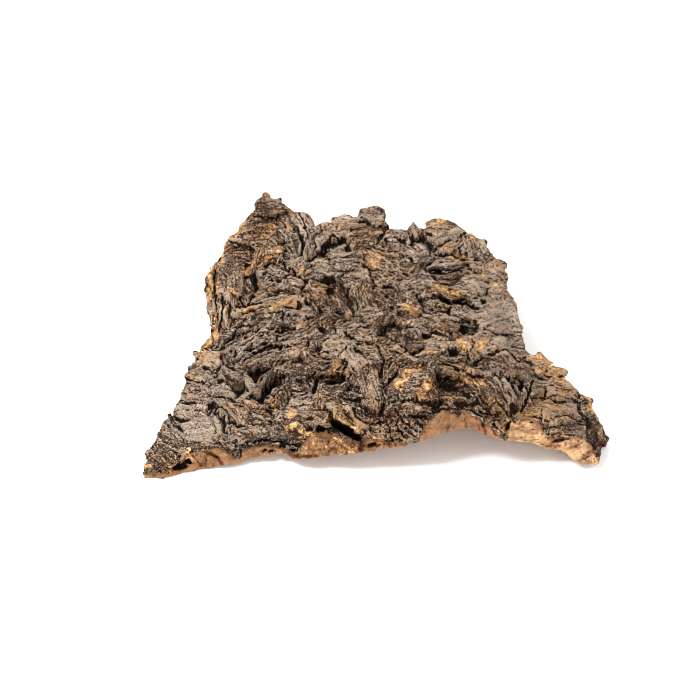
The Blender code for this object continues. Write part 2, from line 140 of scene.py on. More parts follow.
# Open holes between the plates: across, down, half width, half height, turn, millimetres deep
HOLES = [
    (328, 280, 11, 3.5, -5, 7), (330, 289, 6, 4, 0, 6), (308, 303, 4, 3, 0, 6), (340, 309, 6, 4, 20, 8),
    (322, 330, 6, 3.5, 30, 7), (386, 240, 4, 3, 0, 6), (402, 241, 6, 3, 0, 7), (430, 238, 6.5, 1.8, 32, 5),
    (406, 273, 6.5, 2.4, 28, 6), (388, 285, 9, 3, 15, 5), (387, 297, 3, 3, 0, 5), (268, 374, 10, 2.6, -33, 9),
    (276, 382, 9, 2.4, -33, 7), (231, 370, 8, 2.6, 35, 7), (316, 388, 3, 13, 12, 9), (333, 383, 9, 3.5, -25, 9),
    (357, 401, 12, 2.4, 0, 8), (410, 328, 6, 3, 0, 8), (426, 336, 6, 3.5, 25, 8), (464, 328, 6, 6, 20, 11),
    (453, 350, 9, 4, 10, 9), (448, 385, 14, 5.5, 12, 8), (466, 394, 10, 3.5, 30, 5), (513, 408, 5, 7, -20, 8),
    (438, 410, 14, 3.5, 0, 7), (248, 266, 5, 3, 10, 6), (246, 276, 3, 2.5, 0, 6), (276, 281, 8, 2.4, 0, 7),
    (285, 227, 3, 3, 40, 5), (283, 243, 4, 2, 0, 4), (347, 257, 6, 3, 20, 5), (299, 306, 3, 5, 0, 5),
    (337, 239, 7, 1.6, 20, 6), (348, 247, 4, 4, 30, 7), (292, 296, 7, 2, -20, 5), (207, 369, 7, 2.5, 10, 5),
    (182, 420, 9, 2.6, 6, 7), (180, 455, 5, 2.0, 0, 4), (310, 421, 5, 3.5, 0, 7), (392, 307, 3, 4, 0, 5),
    (404, 300, 4, 2.5, 0, 4), (474, 402, 2.5, 8, 30, 5), (388, 418, 1.2, 9, 20, 5), (397, 422, 1.2, 9, 30, 5),
    (406, 426, 1.2, 8, 38, 5), (476, 414, 12, 1.4, 28, 5), (462, 402, 12, 3.5, 10, 7), (477, 262, 5, 2, 20, 5), (483, 304, 4, 3, 0, 6), (521, 385, 3, 5, -10, 7),
    (425, 397, 10, 1.6, -4, 2.5), (551, 366, 14, 1.0, 20, 3), (547, 372, 12, 1.0, 22, 3), (588, 424, 3, 8, -25, 4),
    (247, 391, 5, 2, 45, 6), (241, 330, 5, 1.6, -25, 5), (262, 384, 3, 6, 30, 5), (299, 382, 5, 3, 20, 5),
]
# Long cracks: points, half width, millimetres deep
CRACKS = [
    ([(219, 409), (226, 414), (230, 422), (231, 431), (230, 437)], 1.2, 3.2),
    ([(216, 270), (214.5, 278), (215, 290), (216, 304)], 1.4, 5), ([(223, 300), (222, 316), (219, 330)], 1.6, 5), ([(299, 216), (304, 228), (309, 240)], 1.2, 5),
    ([(440, 298), (452, 303), (466, 303), (478, 310)], 2.2, 8),
    ([(309, 263), (320, 254), (331, 240)], 1.8, 5),
    ([(300, 236), (304, 246), (301, 256)], 1.8, 5),
    ([(283, 262), (290, 272), (296, 275)], 1.8, 5),
    ([(240, 445), (252, 441), (268, 440), (284, 443), (296, 446)], 1.3, 4),
    ([(253, 298), (246, 308), (240, 300)], 1.8, 5),
    ([(262, 318), (280, 313), (300, 310)], 1.2, 3),
    ([(245, 340), (262, 334), (282, 330)], 1.3, 3.5),
    ([(222, 337), (236, 331), (252, 329)], 1.3, 4),
    ([(196, 398), (214, 397), (232, 400), (244, 404)], 0.9, 2.4),
    ([(184, 377), (197, 383), (212, 384)], 1.3, 4),
    ([(254, 354), (270, 347), (292, 346)], 1.8, 5),
    ([(256, 399), (272, 393), (284, 391)], 1.5, 4),
    ([(300, 345), (312, 352), (330, 354)], 1.4, 4),
    ([(345, 334), (358, 341), (372, 344)], 1.5, 4),
    ([(378, 346), (384, 360), (380, 372)], 1.5, 4),
    ([(383, 384), (395, 377), (404, 366)], 1.5, 4),
    ([(436, 362), (450, 366), (468, 376), (486, 379)], 1.7, 5),
    ([(484, 330), (497, 336), (514, 336)], 1.0, 2.5),
    ([(489, 357), (505, 352), (520, 362)], 1.5, 4),
    ([(479, 411), (492, 415), (504, 412)], 1.5, 4),
    ([(418, 432), (402, 420), (396, 408)], 1.4, 4),
    ([(392, 440), (388, 424), (384, 412)], 1.2, 3.5),
    ([(404, 438), (397, 426)], 1.2, 3),
    ([(533, 380), (528, 396), (521, 410)], 1.8, 5),
    ([(541, 399), (560, 397), (580, 402)], 1.2, 3),
    ([(545, 420), (566, 418), (590, 424)], 1.2, 3),
    ([(366, 246), (380, 249), (392, 250)], 1.3, 3.5),
    ([(436, 256), (452, 256), (470, 262)], 1.4, 4),
    ([(426, 272), (444, 270), (462, 270)], 1.2, 3.5),
    ([(484, 256), (494, 258), (503, 262)], 1.2, 3),
]
# Bare orange-tan cork where the outer bark has broken off: points, half width, strength
FRESH = [
    ([(244, 273), (254, 267), (265, 261), (273, 256), (281, 249)], 3.4, 1.1),
    ([(262, 240), (268, 234), (274, 228)], 3.5, 0.7), ([(285, 226), (288, 231)], 3.0, 0.8),
    ([(280, 241), (287, 245)], 3.0, 0.7), ([(244, 306), (250, 315)], 3.5, 0.9), ([(257, 308), (268, 305)], 2.6, 0.7),
    ([(280, 306), (292, 303)], 4.0, 1.0), ([(298, 272), (306, 273)], 2.6, 0.6), ([(298, 290), (308, 292)], 2.4, 0.7),
    ([(372, 266), (377, 258), (381, 252)], 3.8, 0.9), ([(350, 248), (355, 246)], 2.4, 0.8),
    ([(444, 250), (461, 259)], 1.7, 1.0), ([(447, 256), (459, 262)], 1.5, 0.9),
    ([(436, 226), (444, 222)], 3.0, 0.8), ([(470, 234), (474, 240), (473, 248)], 3.6, 1.0),
    ([(478, 279), (490, 282), (500, 290)], 2.0, 1.0), ([(434, 288), (446, 291), (457, 295)], 4.5, 0.8),
    ([(405, 308), (416, 314)], 4.2, 0.9), ([(456, 337), (466, 349)], 4.6, 1.0), ([(335, 416), (346, 423), (357, 430), (366, 435)], 1.1, 0.95), ([(464, 333), (472, 340)], 2.0, 1.0),
    ([(446, 346), (452, 353)], 2.6, 0.8), ([(475, 347), (485, 342), (480, 352)], 3.0, 1.0),
    ([(424, 352), (440, 358)], 2.6, 0.9), ([(399, 388), (408, 378), (418, 371)], 5.4, 1.0),
    ([(420, 398), (428, 390)], 3.6, 1.0), ([(455, 377), (470, 382), (487, 387)], 2.4, 0.9),
    ([(444, 371), (456, 369)], 2.0, 0.8), ([(333, 372), (338, 362)], 2.6, 0.9), ([(290, 416), (296, 410)], 3.4, 1.0),
    ([(288, 428), (296, 424)], 3.0, 0.9), ([(300, 430), (312, 436), (316, 444)], 3.6, 0.7),
    ([(274, 402), (275, 410)], 2.0, 0.9), ([(321, 413), (327, 417)], 2.6, 0.9), ([(314, 399), (326, 400)], 2.2, 0.9),
    ([(204, 350), (209, 343), (216, 338)], 5.0, 1.35), ([(336, 441), (346, 448), (354, 451)], 4.6, 0.9), ([(189, 457), (194, 461)], 3.4, 1.0),
    ([(301, 438), (306, 447)], 2.8, 0.9), ([(368, 440), (378, 441)], 2.0, 0.9), ([(240, 452), (252, 448), (262, 447)], 1.8, 0.6), ([(512, 421), (523, 411), (534, 419)], 6.5, 0.62),
    ([(246, 312), (256, 308), (266, 307)], 2.2, 0.9), ([(272, 311), (282, 306), (290, 303)], 2.2, 1.0), ([(216, 336), (216, 326)], 3.0, 0.8),
    ([(222, 262), (222, 250), (223, 240)], 2.6, 0.9), ([(217.5, 300), (218, 280), (219, 262)], 1.3, 0.7), ([(212, 270), (208.5, 282), (210, 298)], 4.6, 0.95),
    ([(214, 308), (216, 318)], 2.0, 0.7), ([(236, 236), (244, 220), (256, 203)], 2.4, 0.9),
    ([(262, 196), (270, 195)], 2.4, 0.6), ([(230, 292), (236, 296)], 3.0, 0.8),
    ([(178, 461), (172, 466), (168, 471)], 2.6, 1.0), ([(184, 455), (189, 449)], 2.4, 1.0),
    ([(149, 446), (158, 434), (166, 424)], 1.6, 0.7), ([(143, 466), (152, 468)], 2.6, 0.7),
    ([(582, 398), (588, 402), (593, 412)], 4.0, 0.95), ([(560, 372), (566, 377)], 4.0, 0.6), ([(539, 362), (552, 371), (562, 381)], 6.0, 0.5),
    ([(540, 358), (545, 372)], 4.5, 0.6), ([(508, 432), (516, 424), (530, 414)], 3.0, 0.6), ([(574, 386), (578, 392)], 2.2, 0.8), ([(500, 424), (503, 432)], 2.2, 0.8),
    ([(318, 307), (325, 306)], 2.2, 0.6), ([(343, 342), (347, 338)], 2.2, 0.6), ([(362, 302), (372, 300)], 2.0, 0.5),
    ([(371, 440), (380, 437)], 3.0, 0.9), ([(354, 447), (362, 443)], 2.4, 0.8), ([(381, 296), (388, 300)], 2.2, 0.5),
    ([(300, 323), (306, 325)], 2.2, 0.6), ([(392, 327), (396, 322)], 2.0, 0.4), ([(489, 402), (494, 398)], 1.8, 0.5),
    ([(508, 372), (514, 378)], 1.8, 0.4), ([(470, 300), (474, 296)], 1.6, 0.5), ([(497, 262), (503, 270)], 2.0, 0.7),
    ([(504, 286), (510, 296)], 1.8, 0.6), ([(518, 318), (521, 328)], 1.6, 0.5), ([(253, 246), (260, 252)], 2.4, 0.4),
    ([(310, 316), (318, 320)], 2.4, 0.4), ([(400, 262), (396, 254)], 2.4, 0.4),
]
# Lighter and darker ground, with painted shade at some hollows and under overhangs where it is darker: across, down,
# reach across, reach down, how much
TONES_AND_SHADES = [
    (203, 430, 22, 13, 0.56), (225, 412, 12, 12, 0.12), (170, 450, 22, 14, -0.05), (211, 357, 14, 9, 0.25),
    (247, 405, 16, 10, 0.12), (232, 285, 12, 18, 0.22), (297, 265, 24, 14, 0.16), (292, 240, 14, 14, 0.12),
    (262, 215, 18, 16, -0.28), (258, 250, 16, 14, -0.15), (340, 300, 30, 22, -0.30), (330, 280, 16, 7, -0.20),
    (365, 236, 18, 14, -0.12), (373, 213, 12, 8, 0.05), (404, 262, 14, 14, -0.22), (443, 230, 18, 8, 0.10),
    (493, 270, 14, 12, 0.22), (475, 290, 18, 9, 0.12), (498, 320, 20, 22, 0.16), (452, 315, 20, 9, 0.12),
    (394, 335, 14, 10, -0.25), (354, 357, 13, 12, 0.30), (372, 390, 11, 16, 0.45), (416, 384, 18, 12, 0.22), (384, 412, 12, 10, -0.2),
    (447, 386, 18, 10, -0.4), (491, 404, 18, 14, -0.06), (552, 368, 18, 12, 0.40), (556, 400, 24, 10, 0.28),
    (545, 410, 10, 14, 0.25), (590, 432, 9, 18, -0.28), (575, 425, 14, 8, -0.12), (410, 425, 18, 14, -0.18),
    (445, 412, 18, 7, -0.30), (275, 425, 30, 10, -0.15), (285, 437, 26, 8, -0.22), (318, 345, 40, 12, 0.06),
    (260, 320, 34, 12, 0.10), (270, 378, 26, 12, -0.12), (340, 445, 24, 10, -0.2), (300, 300, 12, 8, 0.1),
    (420, 280, 16, 8, 0.12), (330, 225, 16, 8, 0.1), (513, 300, 8, 24, -0.08), (217, 385, 30, 18, 0.19),
    (298, 240, 16, 20, 0.10), (452, 245, 30, 18, 0.15), (491, 270, 13, 12, 0.32), (498, 316, 22, 30, 0.46), (410, 425, 26, 14, -0.09), (268, 447, 40, 6, -0.22), (350, 420, 18, 7, -0.12), (300, 425, 14, 10, -0.10), (262, 262, 12, 10, 0.08), (452, 242, 30, 16, 0.10), (342, 296, 24, 16, 0.12), (447, 350, 30, 12, 0.06),
    (560, 398, 34, 26, 0.14), (552, 370, 18, 12, 0.14), (365, 243, 40, 18, 0.11), (267, 218, 18, 16, -0.20), (375, 235, 30, 14, -0.04), (280, 320, 50, 20, 0.06), (400, 422, 22, 14, -0.08),
    (448, 387, 24, 14, -0.28), (497, 352, 20, 12, -0.10), (338, 382, 30, 12, -0.08), (400, 422, 22, 14, -0.05), (162, 456, 14, 12, 0.10), (540, 415, 12, 12, 0.12),
]
# Where the bark is browner: across, down, reach across, reach down, how much
BROWNS = [
    (448, 385, 40, 26, 0.35), (495, 405, 26, 18, 0.45), (400, 425, 30, 16, 0.3), (265, 215, 26, 24, 0.4), (530, 412, 20, 14, 0.6),
    (340, 300, 34, 20, 0.3), (560, 400, 34, 24, 0.25), (350, 425, 22, 12, 0.45), (350, 421, 20, 8, 0.8), (338, 374, 12, 12, 0.3), (203, 430, 34, 24, -0.35), (217, 385, 34, 22, -0.3),
    (270, 330, 40, 24, -0.2), (292, 250, 18, 20, -0.15), (498, 315, 22, 30, -0.4), (520, 410, 16, 14, 0.3), (553, 370, 18, 14, 0.5), (475, 290, 16, 12, 0.2), (225, 280, 10, 24, -0.1), (410, 315, 20, 14, 0.3), (245, 255, 16, 14, 0.3),
]

# Where the layers stand out as parallel ribs, and where they are worn smooth: across, down, reach across and down, how much
RIBS = [
    (285, 315, 44, 24, 0.45), (245, 320, 26, 16, 0.3), (262, 350, 26, 10, 0.4), (402, 422, 24, 14, 0.7), (552, 372, 18, 10, 0.6), (493, 404, 20, 14, 0.6), (270, 380, 26, 12, 0.6),
    (392, 372, 14, 12, 0.6), (460, 370, 26, 6, 0.5), (262, 264, 10, 14, 0.4), (395, 250, 14, 10, 0.4), (297, 268, 20, 10, 0.3),
    (480, 410, 24, 8, 0.5), (318, 392, 8, 16, 0.4), (345, 425, 24, 8, 0.5), (203, 429, 20, 13, -0.9), (498, 318, 22, 24, -0.5),
    (232, 284, 10, 18, -0.3), (265, 214, 22, 20, -0.5), (354, 357, 14, 12, -0.4), (372, 392, 14, 18, -0.4), (416, 386, 18, 12, -0.7), (493, 270, 12, 12, -0.4),
    (556, 402, 26, 14, -0.3), (365, 235, 16, 16, -0.3), (443, 230, 16, 8, -0.3), (493, 269, 12, 12, -0.4), (340, 300, 24, 14, -0.3),
    (452, 310, 24, 12, -0.2), (170, 445, 20, 14, -0.3), (211, 357, 12, 8, -0.3), (410, 330, 16, 10, -0.2),
]
# Dents in the broken front edge, and lumps on it where the depth is negative: as HOLES
FACE = [
    (181, 467, 8, 3.6, -8, 6), (188, 461, 4, 3.2, 0, 5), (174, 468, 4, 2.0, 0, 3), (272, 452, 4, 2.6, 0, 6),
    (264, 450, 4, 1.4, 0, 3), (302, 456, 9, 1.6, -4, 3.5), (321, 428, 4, 3.2, 0, 7), (346, 430, 18, 3.8, 33, 12),
    (354, 421, 19, 3.2, 34, -4), (345, 447, 8, 5, 0, -5), (331, 443, 7, 4, 0, 1.2), (316, 446, 7, 4, 10, -2.5), (370, 450, 6, 2.5, 0, 2), (373, 445, 7, 1.8, -8, 4),
    (362, 444, 3, 6, 10, 2.5), (424, 412, 3, 6, 20, 2), (559, 440, 8, 1.6, -12, 2.5), (486, 421, 4, 9, 20, 2),
    (494, 436, 4, 5, 0, -2), (508, 426, 2, 8, 20, 3), (448, 424, 1.0, 10, 8, 1.2), (214, 455, 7, 1.4, 30, 1.6),
    (205, 460, 1.6, 7, 20, 1.6), (237, 454, 3.5, 6, 0, -3), (308, 440, 5, 8, 0, -2.5), (466, 421, 1.0, 8, -6, 1.0),
    (586, 455, 8, 1.5, -40, 2.0), (570, 448, 9, 1.2, -18, 1.4), (531, 432, 10, 1.2, 8, 1.2),
]
# Where the bark ends on the front edge and the bare cut begins: across, down
BORDER = [
    (100, 471), (140, 471), (154, 473), (166, 472), (172, 470), (180, 466), (188, 452), (192, 449), (205, 448), (219, 448),
    (226, 451), (230, 455), (234, 458), (240, 457), (243, 451), (251, 446.5), (267, 444), (281, 446.5), (288, 451),
    (299, 453), (304, 440), (314, 432), (325, 431), (340, 436), (352, 440), (360, 441), (366, 440), (380, 439), (386, 441),
    (392, 444), (398, 442), (404, 445), (412, 446), (418, 441), (424, 426), (432, 420), (438, 413), (443, 410), (453, 412),
    (457, 417), (463, 412), (475, 415), (483, 423), (493, 428), (500, 437), (507, 440), (509, 430), (510, 414), (520, 417),
    (537, 420), (541, 428), (548, 437), (560, 439), (575, 437), (584, 436), (588, 441), (592, 448), (596, 456), (601, 464), (640, 490),
]
# Dark red-brown streaks in the cut: points, half width, strength
VEINS = [
    ([(198, 450), (210, 453), (218, 458), (222, 464)], 1.5, 1.0), ([(190, 452), (196, 460), (202, 466)], 1.1, 0.9),
    ([(204, 457), (208, 464)], 0.8, 0.6), ([(241, 452), (240, 460)], 1.0, 0.9), ([(290, 455), (302, 458), (316, 456)], 1.8, 0.9),
    ([(282, 451), (292, 454)], 1.4, 0.7), ([(357, 445), (362, 452)], 2.0, 0.6), ([(388, 440), (390, 448)], 1.0, 0.9),
    ([(394, 439), (396, 446)], 0.9, 0.9), ([(405, 441), (409, 447)], 1.2, 0.9), ([(440, 412), (441, 421)], 0.7, 0.4),
    ([(464, 413), (466, 428)], 0.7, 0.7), ([(452, 420), (454, 431)], 0.5, 0.4), ([(482, 420), (486, 434)], 1.4, 0.9),
    ([(490, 424), (496, 436)], 1.6, 0.7), ([(476, 418), (480, 430)], 0.9, 0.7), ([(500, 428), (508, 438)], 1.1, 0.7),
    ([(555, 441), (562, 438), (568, 438)], 1.6, 1.0), ([(572, 448), (582, 443)], 0.6, 0.5), ([(584, 450), (592, 444)], 0.7, 0.5),
    ([(586, 458), (594, 452)], 0.7, 0.7), ([(378, 441), (384, 443)], 1.2, 0.5), ([(336, 441), (334, 452)], 1.6, 0.4),
    ([(192, 456), (224, 462)], 4.0, 0.22), ([(300, 448), (344, 450), (380, 448)], 6.0, 0.24),
    ([(316, 436), (328, 444)], 5.0, 0.34), ([(330, 450), (350, 452)], 3.0, 0.3), ([(356, 440), (360, 450)], 3.0, 0.4),
    ([(304, 446), (312, 454)], 3.0, 0.3), ([(246, 452), (262, 450)], 1.6, 0.35), ([(429, 425), (434, 431)], 0.5, 0.4), ([(578, 456), (588, 461)], 0.8, 0.6), ([(521, 424), (533, 430)], 0.6, 0.4),
]
# Knobs, spikes and flakes that stand out of the outline: across, down, height and radius (mm) at each end
KNOBS = [
    (302, 219, 44, 3.6, 311, 229, 42, 3.2), (365, 214, 46, 4.2, 379, 213, 48, 3.4), (414, 233, 42, 3.4, 413.5, 223, 47, 1.3),
    (479, 247, 42, 2.6, 485, 241.5, 43.5, 1.5), (470, 243, 43, 3.6, 471, 237, 45, 2.4), (516, 330, 30, 2.4, 522, 328, 30, 1.4),
    (541, 360, 27, 2.8, 538.5, 354, 30, 1.3), (582, 399, 20, 2.8, 590, 401, 19, 2.0), (172, 420, 11, 2.0, 169.5, 415.5, 13, 1.1),
    (199, 357, 16, 2.2, 194.5, 353, 17, 1.3), (205, 346, 16, 1.7, 206, 344, 17, 1.5), (209, 342, 18, 1.9, 212, 339, 19, 1.6),
    (203, 349, 15, 1.5, 205, 350, 15, 1.6), (214, 337, 19, 1.8, 216, 333, 20, 1.6), (429, 224, 46, 2.2, 431, 222, 47, 1.6),
    (434, 224, 47, 3.2, 446, 224, 47, 3.0), (213, 268, 30, 1.4, 209, 279, 27, 1.8), (209, 280, 27, 1.8, 207.5, 291, 24, 1.9),
    (208, 292, 24, 1.9, 212, 301, 22, 1.6), (336, 221, 44, 3.0, 347, 219, 45, 3.0), (320, 228, 42, 2.8, 328, 226, 43, 2.6),
    (278, 203, 47, 2.2, 279, 200, 48, 1.6), (596, 432, 12, 4.0, 594, 458, 6, 3.2),
]

SIN, COS = math.sin(VIEW_ELEVATION), math.cos(VIEW_ELEVATION)
EYE = np.array([0.0, -VIEW_DISTANCE * COS, 20.0 + VIEW_DISTANCE * SIN])
UNITS = FRAME * VIEW_DISTANCE / VIEW_WIDTH


def view_of(x, y, z):
    depth = (y - EYE[1]) * COS - (z - EYE[2]) * SIN
    return FRAME / 2 + UNITS * x / depth, FRAME / 2 - UNITS * ((y - EYE[1]) * SIN + (z - EYE[2]) * COS) / depth


def plan_of(across, down, z):
    right, up = (np.asarray(across, float) - FRAME / 2) / UNITS, (FRAME / 2 - np.asarray(down, float)) / UNITS
    reach = (z - EYE[2]) / (up * COS - SIN)
    return right * reach, EYE[1] + (COS + up * SIN) * reach


def smooth(t):
    t = np.clip(t, 0.0, 1.0)
    return t * t * (3.0 - 2.0 * t)


def arch(x, y):
    left = LEFT_FRONT[0] + (y - LEFT_FRONT[1]) * (LEFT_BACK[0] - LEFT_FRONT[0]) / (LEFT_BACK[1] - LEFT_FRONT[1])
    right = RIGHT_FRONT[0] + (y - RIGHT_FRONT[1]) * (RIGHT_BACK[0] - RIGHT_FRONT[0]) / (RIGHT_BACK[1] - RIGHT_FRONT[1])
    across = np.clip((x - left) / (right - left), 0.0, 1.0)
    skew = math.log(0.5) / math.log(ARCH_CREST)
    rise = ARCH_HEIGHT * (1.0 + 0.10 * np.cos(y * math.pi / 210.0)) * np.sin(math.pi * across**skew)
    wander = 0.9 * np.sin(x / 17.0 + y / 41.0) * np.sin(y / 23.0 - x / 67.0) * np.clip(rise / 6.0, 0.0, 1.0)
    curl = CURL * smooth((y - CURL_START) / 50.0) * (1.0 - 0.8 * smooth(across / 0.6))
    return np.maximum(rise + wander - PAD, 0.0) + curl


def side(rows, upper):
    rows = np.array(rows, float)
    if upper:
        x, y = plan_of(rows[:, 0], rows[:, 1], rows[:, 2])
        return np.column_stack([x, y, rows[:, 2]])
    z = np.zeros(len(rows))
    for _ in range(12):
        x, y = plan_of(rows[:, 0], rows[:, 1], z)
        z = arch(x, y)
    return np.column_stack([x, y, z + rows[:, 2]])


def evenly(rows, count):
    steps = np.concatenate([[0.0], np.cumsum(np.hypot(*np.diff(rows[:, :2], axis=0).T))])
    at = np.linspace(0.0, steps[-1], count + 1)
    return np.column_stack([np.interp(at, steps, rows[:, i]) for i in range(3)])


def body_top(x, y):
    z = arch(x, y) + THICKNESS
    for _ in range(3):
        across, down = view_of(x, y, z)
        z = arch(x, y) + THICKNESS
        for px, py, reach, more in SWELLS:
            z = z + more * np.exp(-((across - px) ** 2 + (down - py) ** 2) / (2 * reach * reach))
    return z


# ---------------------------------------------------------------- noise
RNG = np.random.default_rng(20)
ANGLE = RNG.random((256, 256)) * 2 * math.pi
GX, GY = np.cos(ANGLE).astype(F32), np.sin(ANGLE).astype(F32)
CELL_X, CELL_Y, CELL_ID = (RNG.random((256, 256)).astype(F32) for _ in range(3))
LATTICE = (RNG.random((64, 64, 64)) * 2 - 1).astype(F32)
BEND = RNG.normal(0, 0.9, len(PLATES))


def noise2(x, y, seed=0):
    """Smooth noise on the plane, about -1 to 1."""
    xi, yi = np.floor(x), np.floor(y)
    fx, fy = (x - xi).astype(F32), (y - yi).astype(F32)
    xi, yi = xi.astype(np.int32) + seed * 37, yi.astype(np.int32) + seed * 91
    ux, uy = fx * fx * fx * (fx * (fx * 6 - 15) + 10), fy * fy * fy * (fy * (fy * 6 - 15) + 10)

    def corner(dx, dy):
        i, j = (xi + dx) & 255, (yi + dy) & 255
        return GX[i, j] * (fx - dx) + GY[i, j] * (fy - dy)

    low = corner(0, 0) * (1 - ux) + corner(1, 0) * ux
    high = corner(0, 1) * (1 - ux) + corner(1, 1) * ux
    return (low * (1 - uy) + high * uy) * 1.5


def fbm2(x, y, octaves, seed=0, gain=0.5):
    total, size = 0.0, 1.0
    for i in range(octaves):
        total = total + size * noise2(x * 2.03**i, y * 2.03**i, seed + i * 7)
        size *= gain
    return total


def cells2(x, y, seed=0, jitter=0.9):
    """Distance to the nearest and next cell centre, and the nearest cell's own random number."""
    xi, yi = np.floor(x).astype(np.int32), np.floor(y).astype(np.int32)
    first = np.full(x.shape, 9.0, F32)
    second, own = first.copy(), np.zeros(x.shape, F32)
    for dx in (-1, 0, 1):
        for dy in (-1, 0, 1):
            i, j = (xi + dx + seed * 31) & 255, (yi + dy + seed * 17) & 255
            cx = xi + dx + 0.5 + (CELL_X[i, j] - 0.5) * jitter
            cy = yi + dy + 0.5 + (CELL_Y[i, j] - 0.5) * jitter
            away = np.hypot(x - cx, y - cy).astype(F32)
            near = away < first
            second = np.where(near, first, np.minimum(second, away))
            own = np.where(near, CELL_ID[i, j], own)
            first = np.where(near, away, first)
    return first, second, own


def noise3(x, y, z, seed=0):
    """Smooth noise in space, about -1 to 1."""
    x, y, z = x + seed * 11.3, y + seed * 5.7, z + seed * 17.1
    xi, yi, zi = np.floor(x), np.floor(y), np.floor(z)
    fx, fy, fz = (x - xi).astype(F32), (y - yi).astype(F32), (z - zi).astype(F32)
    fx, fy, fz = fx * fx * (3 - 2 * fx), fy * fy * (3 - 2 * fy), fz * fz * (3 - 2 * fz)
    i0, j0, k0 = xi.astype(np.int32) & 63, yi.astype(np.int32) & 63, zi.astype(np.int32) & 63
    i1, j1, k1 = (i0 + 1) & 63, (j0 + 1) & 63, (k0 + 1) & 63

    def row(j, k):
        return LATTICE[i0, j, k] * (1 - fx) + LATTICE[i1, j, k] * fx

    near = row(j0, k0) * (1 - fy) + row(j1, k0) * fy
    far = row(j0, k1) * (1 - fy) + row(j1, k1) * fy
    return near * (1 - fz) + far * fz


def blur(image, reach):
    """Gaussian blur of a canvas."""
    pad = int(reach * PER * 3) + 1
    wide = np.pad(image, pad, mode="edge")
    fy, fx = np.fft.fftfreq(wide.shape[0])[:, None], np.fft.rfftfreq(wide.shape[1])[None]
    keep = np.exp(-2 * (math.pi * reach * PER) ** 2 * (fx * fx + fy * fy))
    return np.fft.irfft2(np.fft.rfft2(wide) * keep, wide.shape)[pad:-pad, pad:-pad].astype(F32)


def along(points, across, down):
    """Distance from a broken line, in view units."""
    best = np.full(across.shape, 1e9, F32)
    for (ax, ay), (bx, by) in zip(points[:-1], points[1:]):
        dx, dy = bx - ax, by - ay
        t = np.clip(((across - ax) * dx + (down - ay) * dy) / (dx * dx + dy * dy), 0, 1)
        best = np.minimum(best, np.hypot(across - ax - t * dx, down - ay - t * dy))
    return best


# ---------------------------------------------------------------- laying out the canvas
def streaks(source, tx, ty, steps, hop):
    """Smears a noise canvas along the direction (tx, ty) at each place, which makes fibres that follow it."""
    rows, columns = np.meshgrid(np.arange(ND, dtype=F32), np.arange(NA, dtype=F32), indexing="ij")
    total = source.copy()
    for sign in (1.0, -1.0):
        x, y = columns.copy(), rows.copy()
        dx, dy = tx * F32(sign), ty * F32(sign)
        for _ in range(steps):
            x += dx * F32(hop)
            y += dy * F32(hop)
            i, j = np.clip(x, 0, NA - 1).astype(np.int32), np.clip(y, 0, ND - 1).astype(np.int32)
            total += source[j, i]
            nx, ny = tx[j, i], ty[j, i]
            turn = np.where(nx * dx + ny * dy < 0, F32(-1), F32(1))
            dx, dy = nx * turn, ny * turn
    total -= total.mean()
    return total / total.std()


def terrace(field, steps, sharp):
    """Turns a slope into treads with steep risers."""
    field = field * steps
    whole = np.floor(field)
    return (whole + smooth((field - whole - 0.5) * sharp + 0.5)) / steps


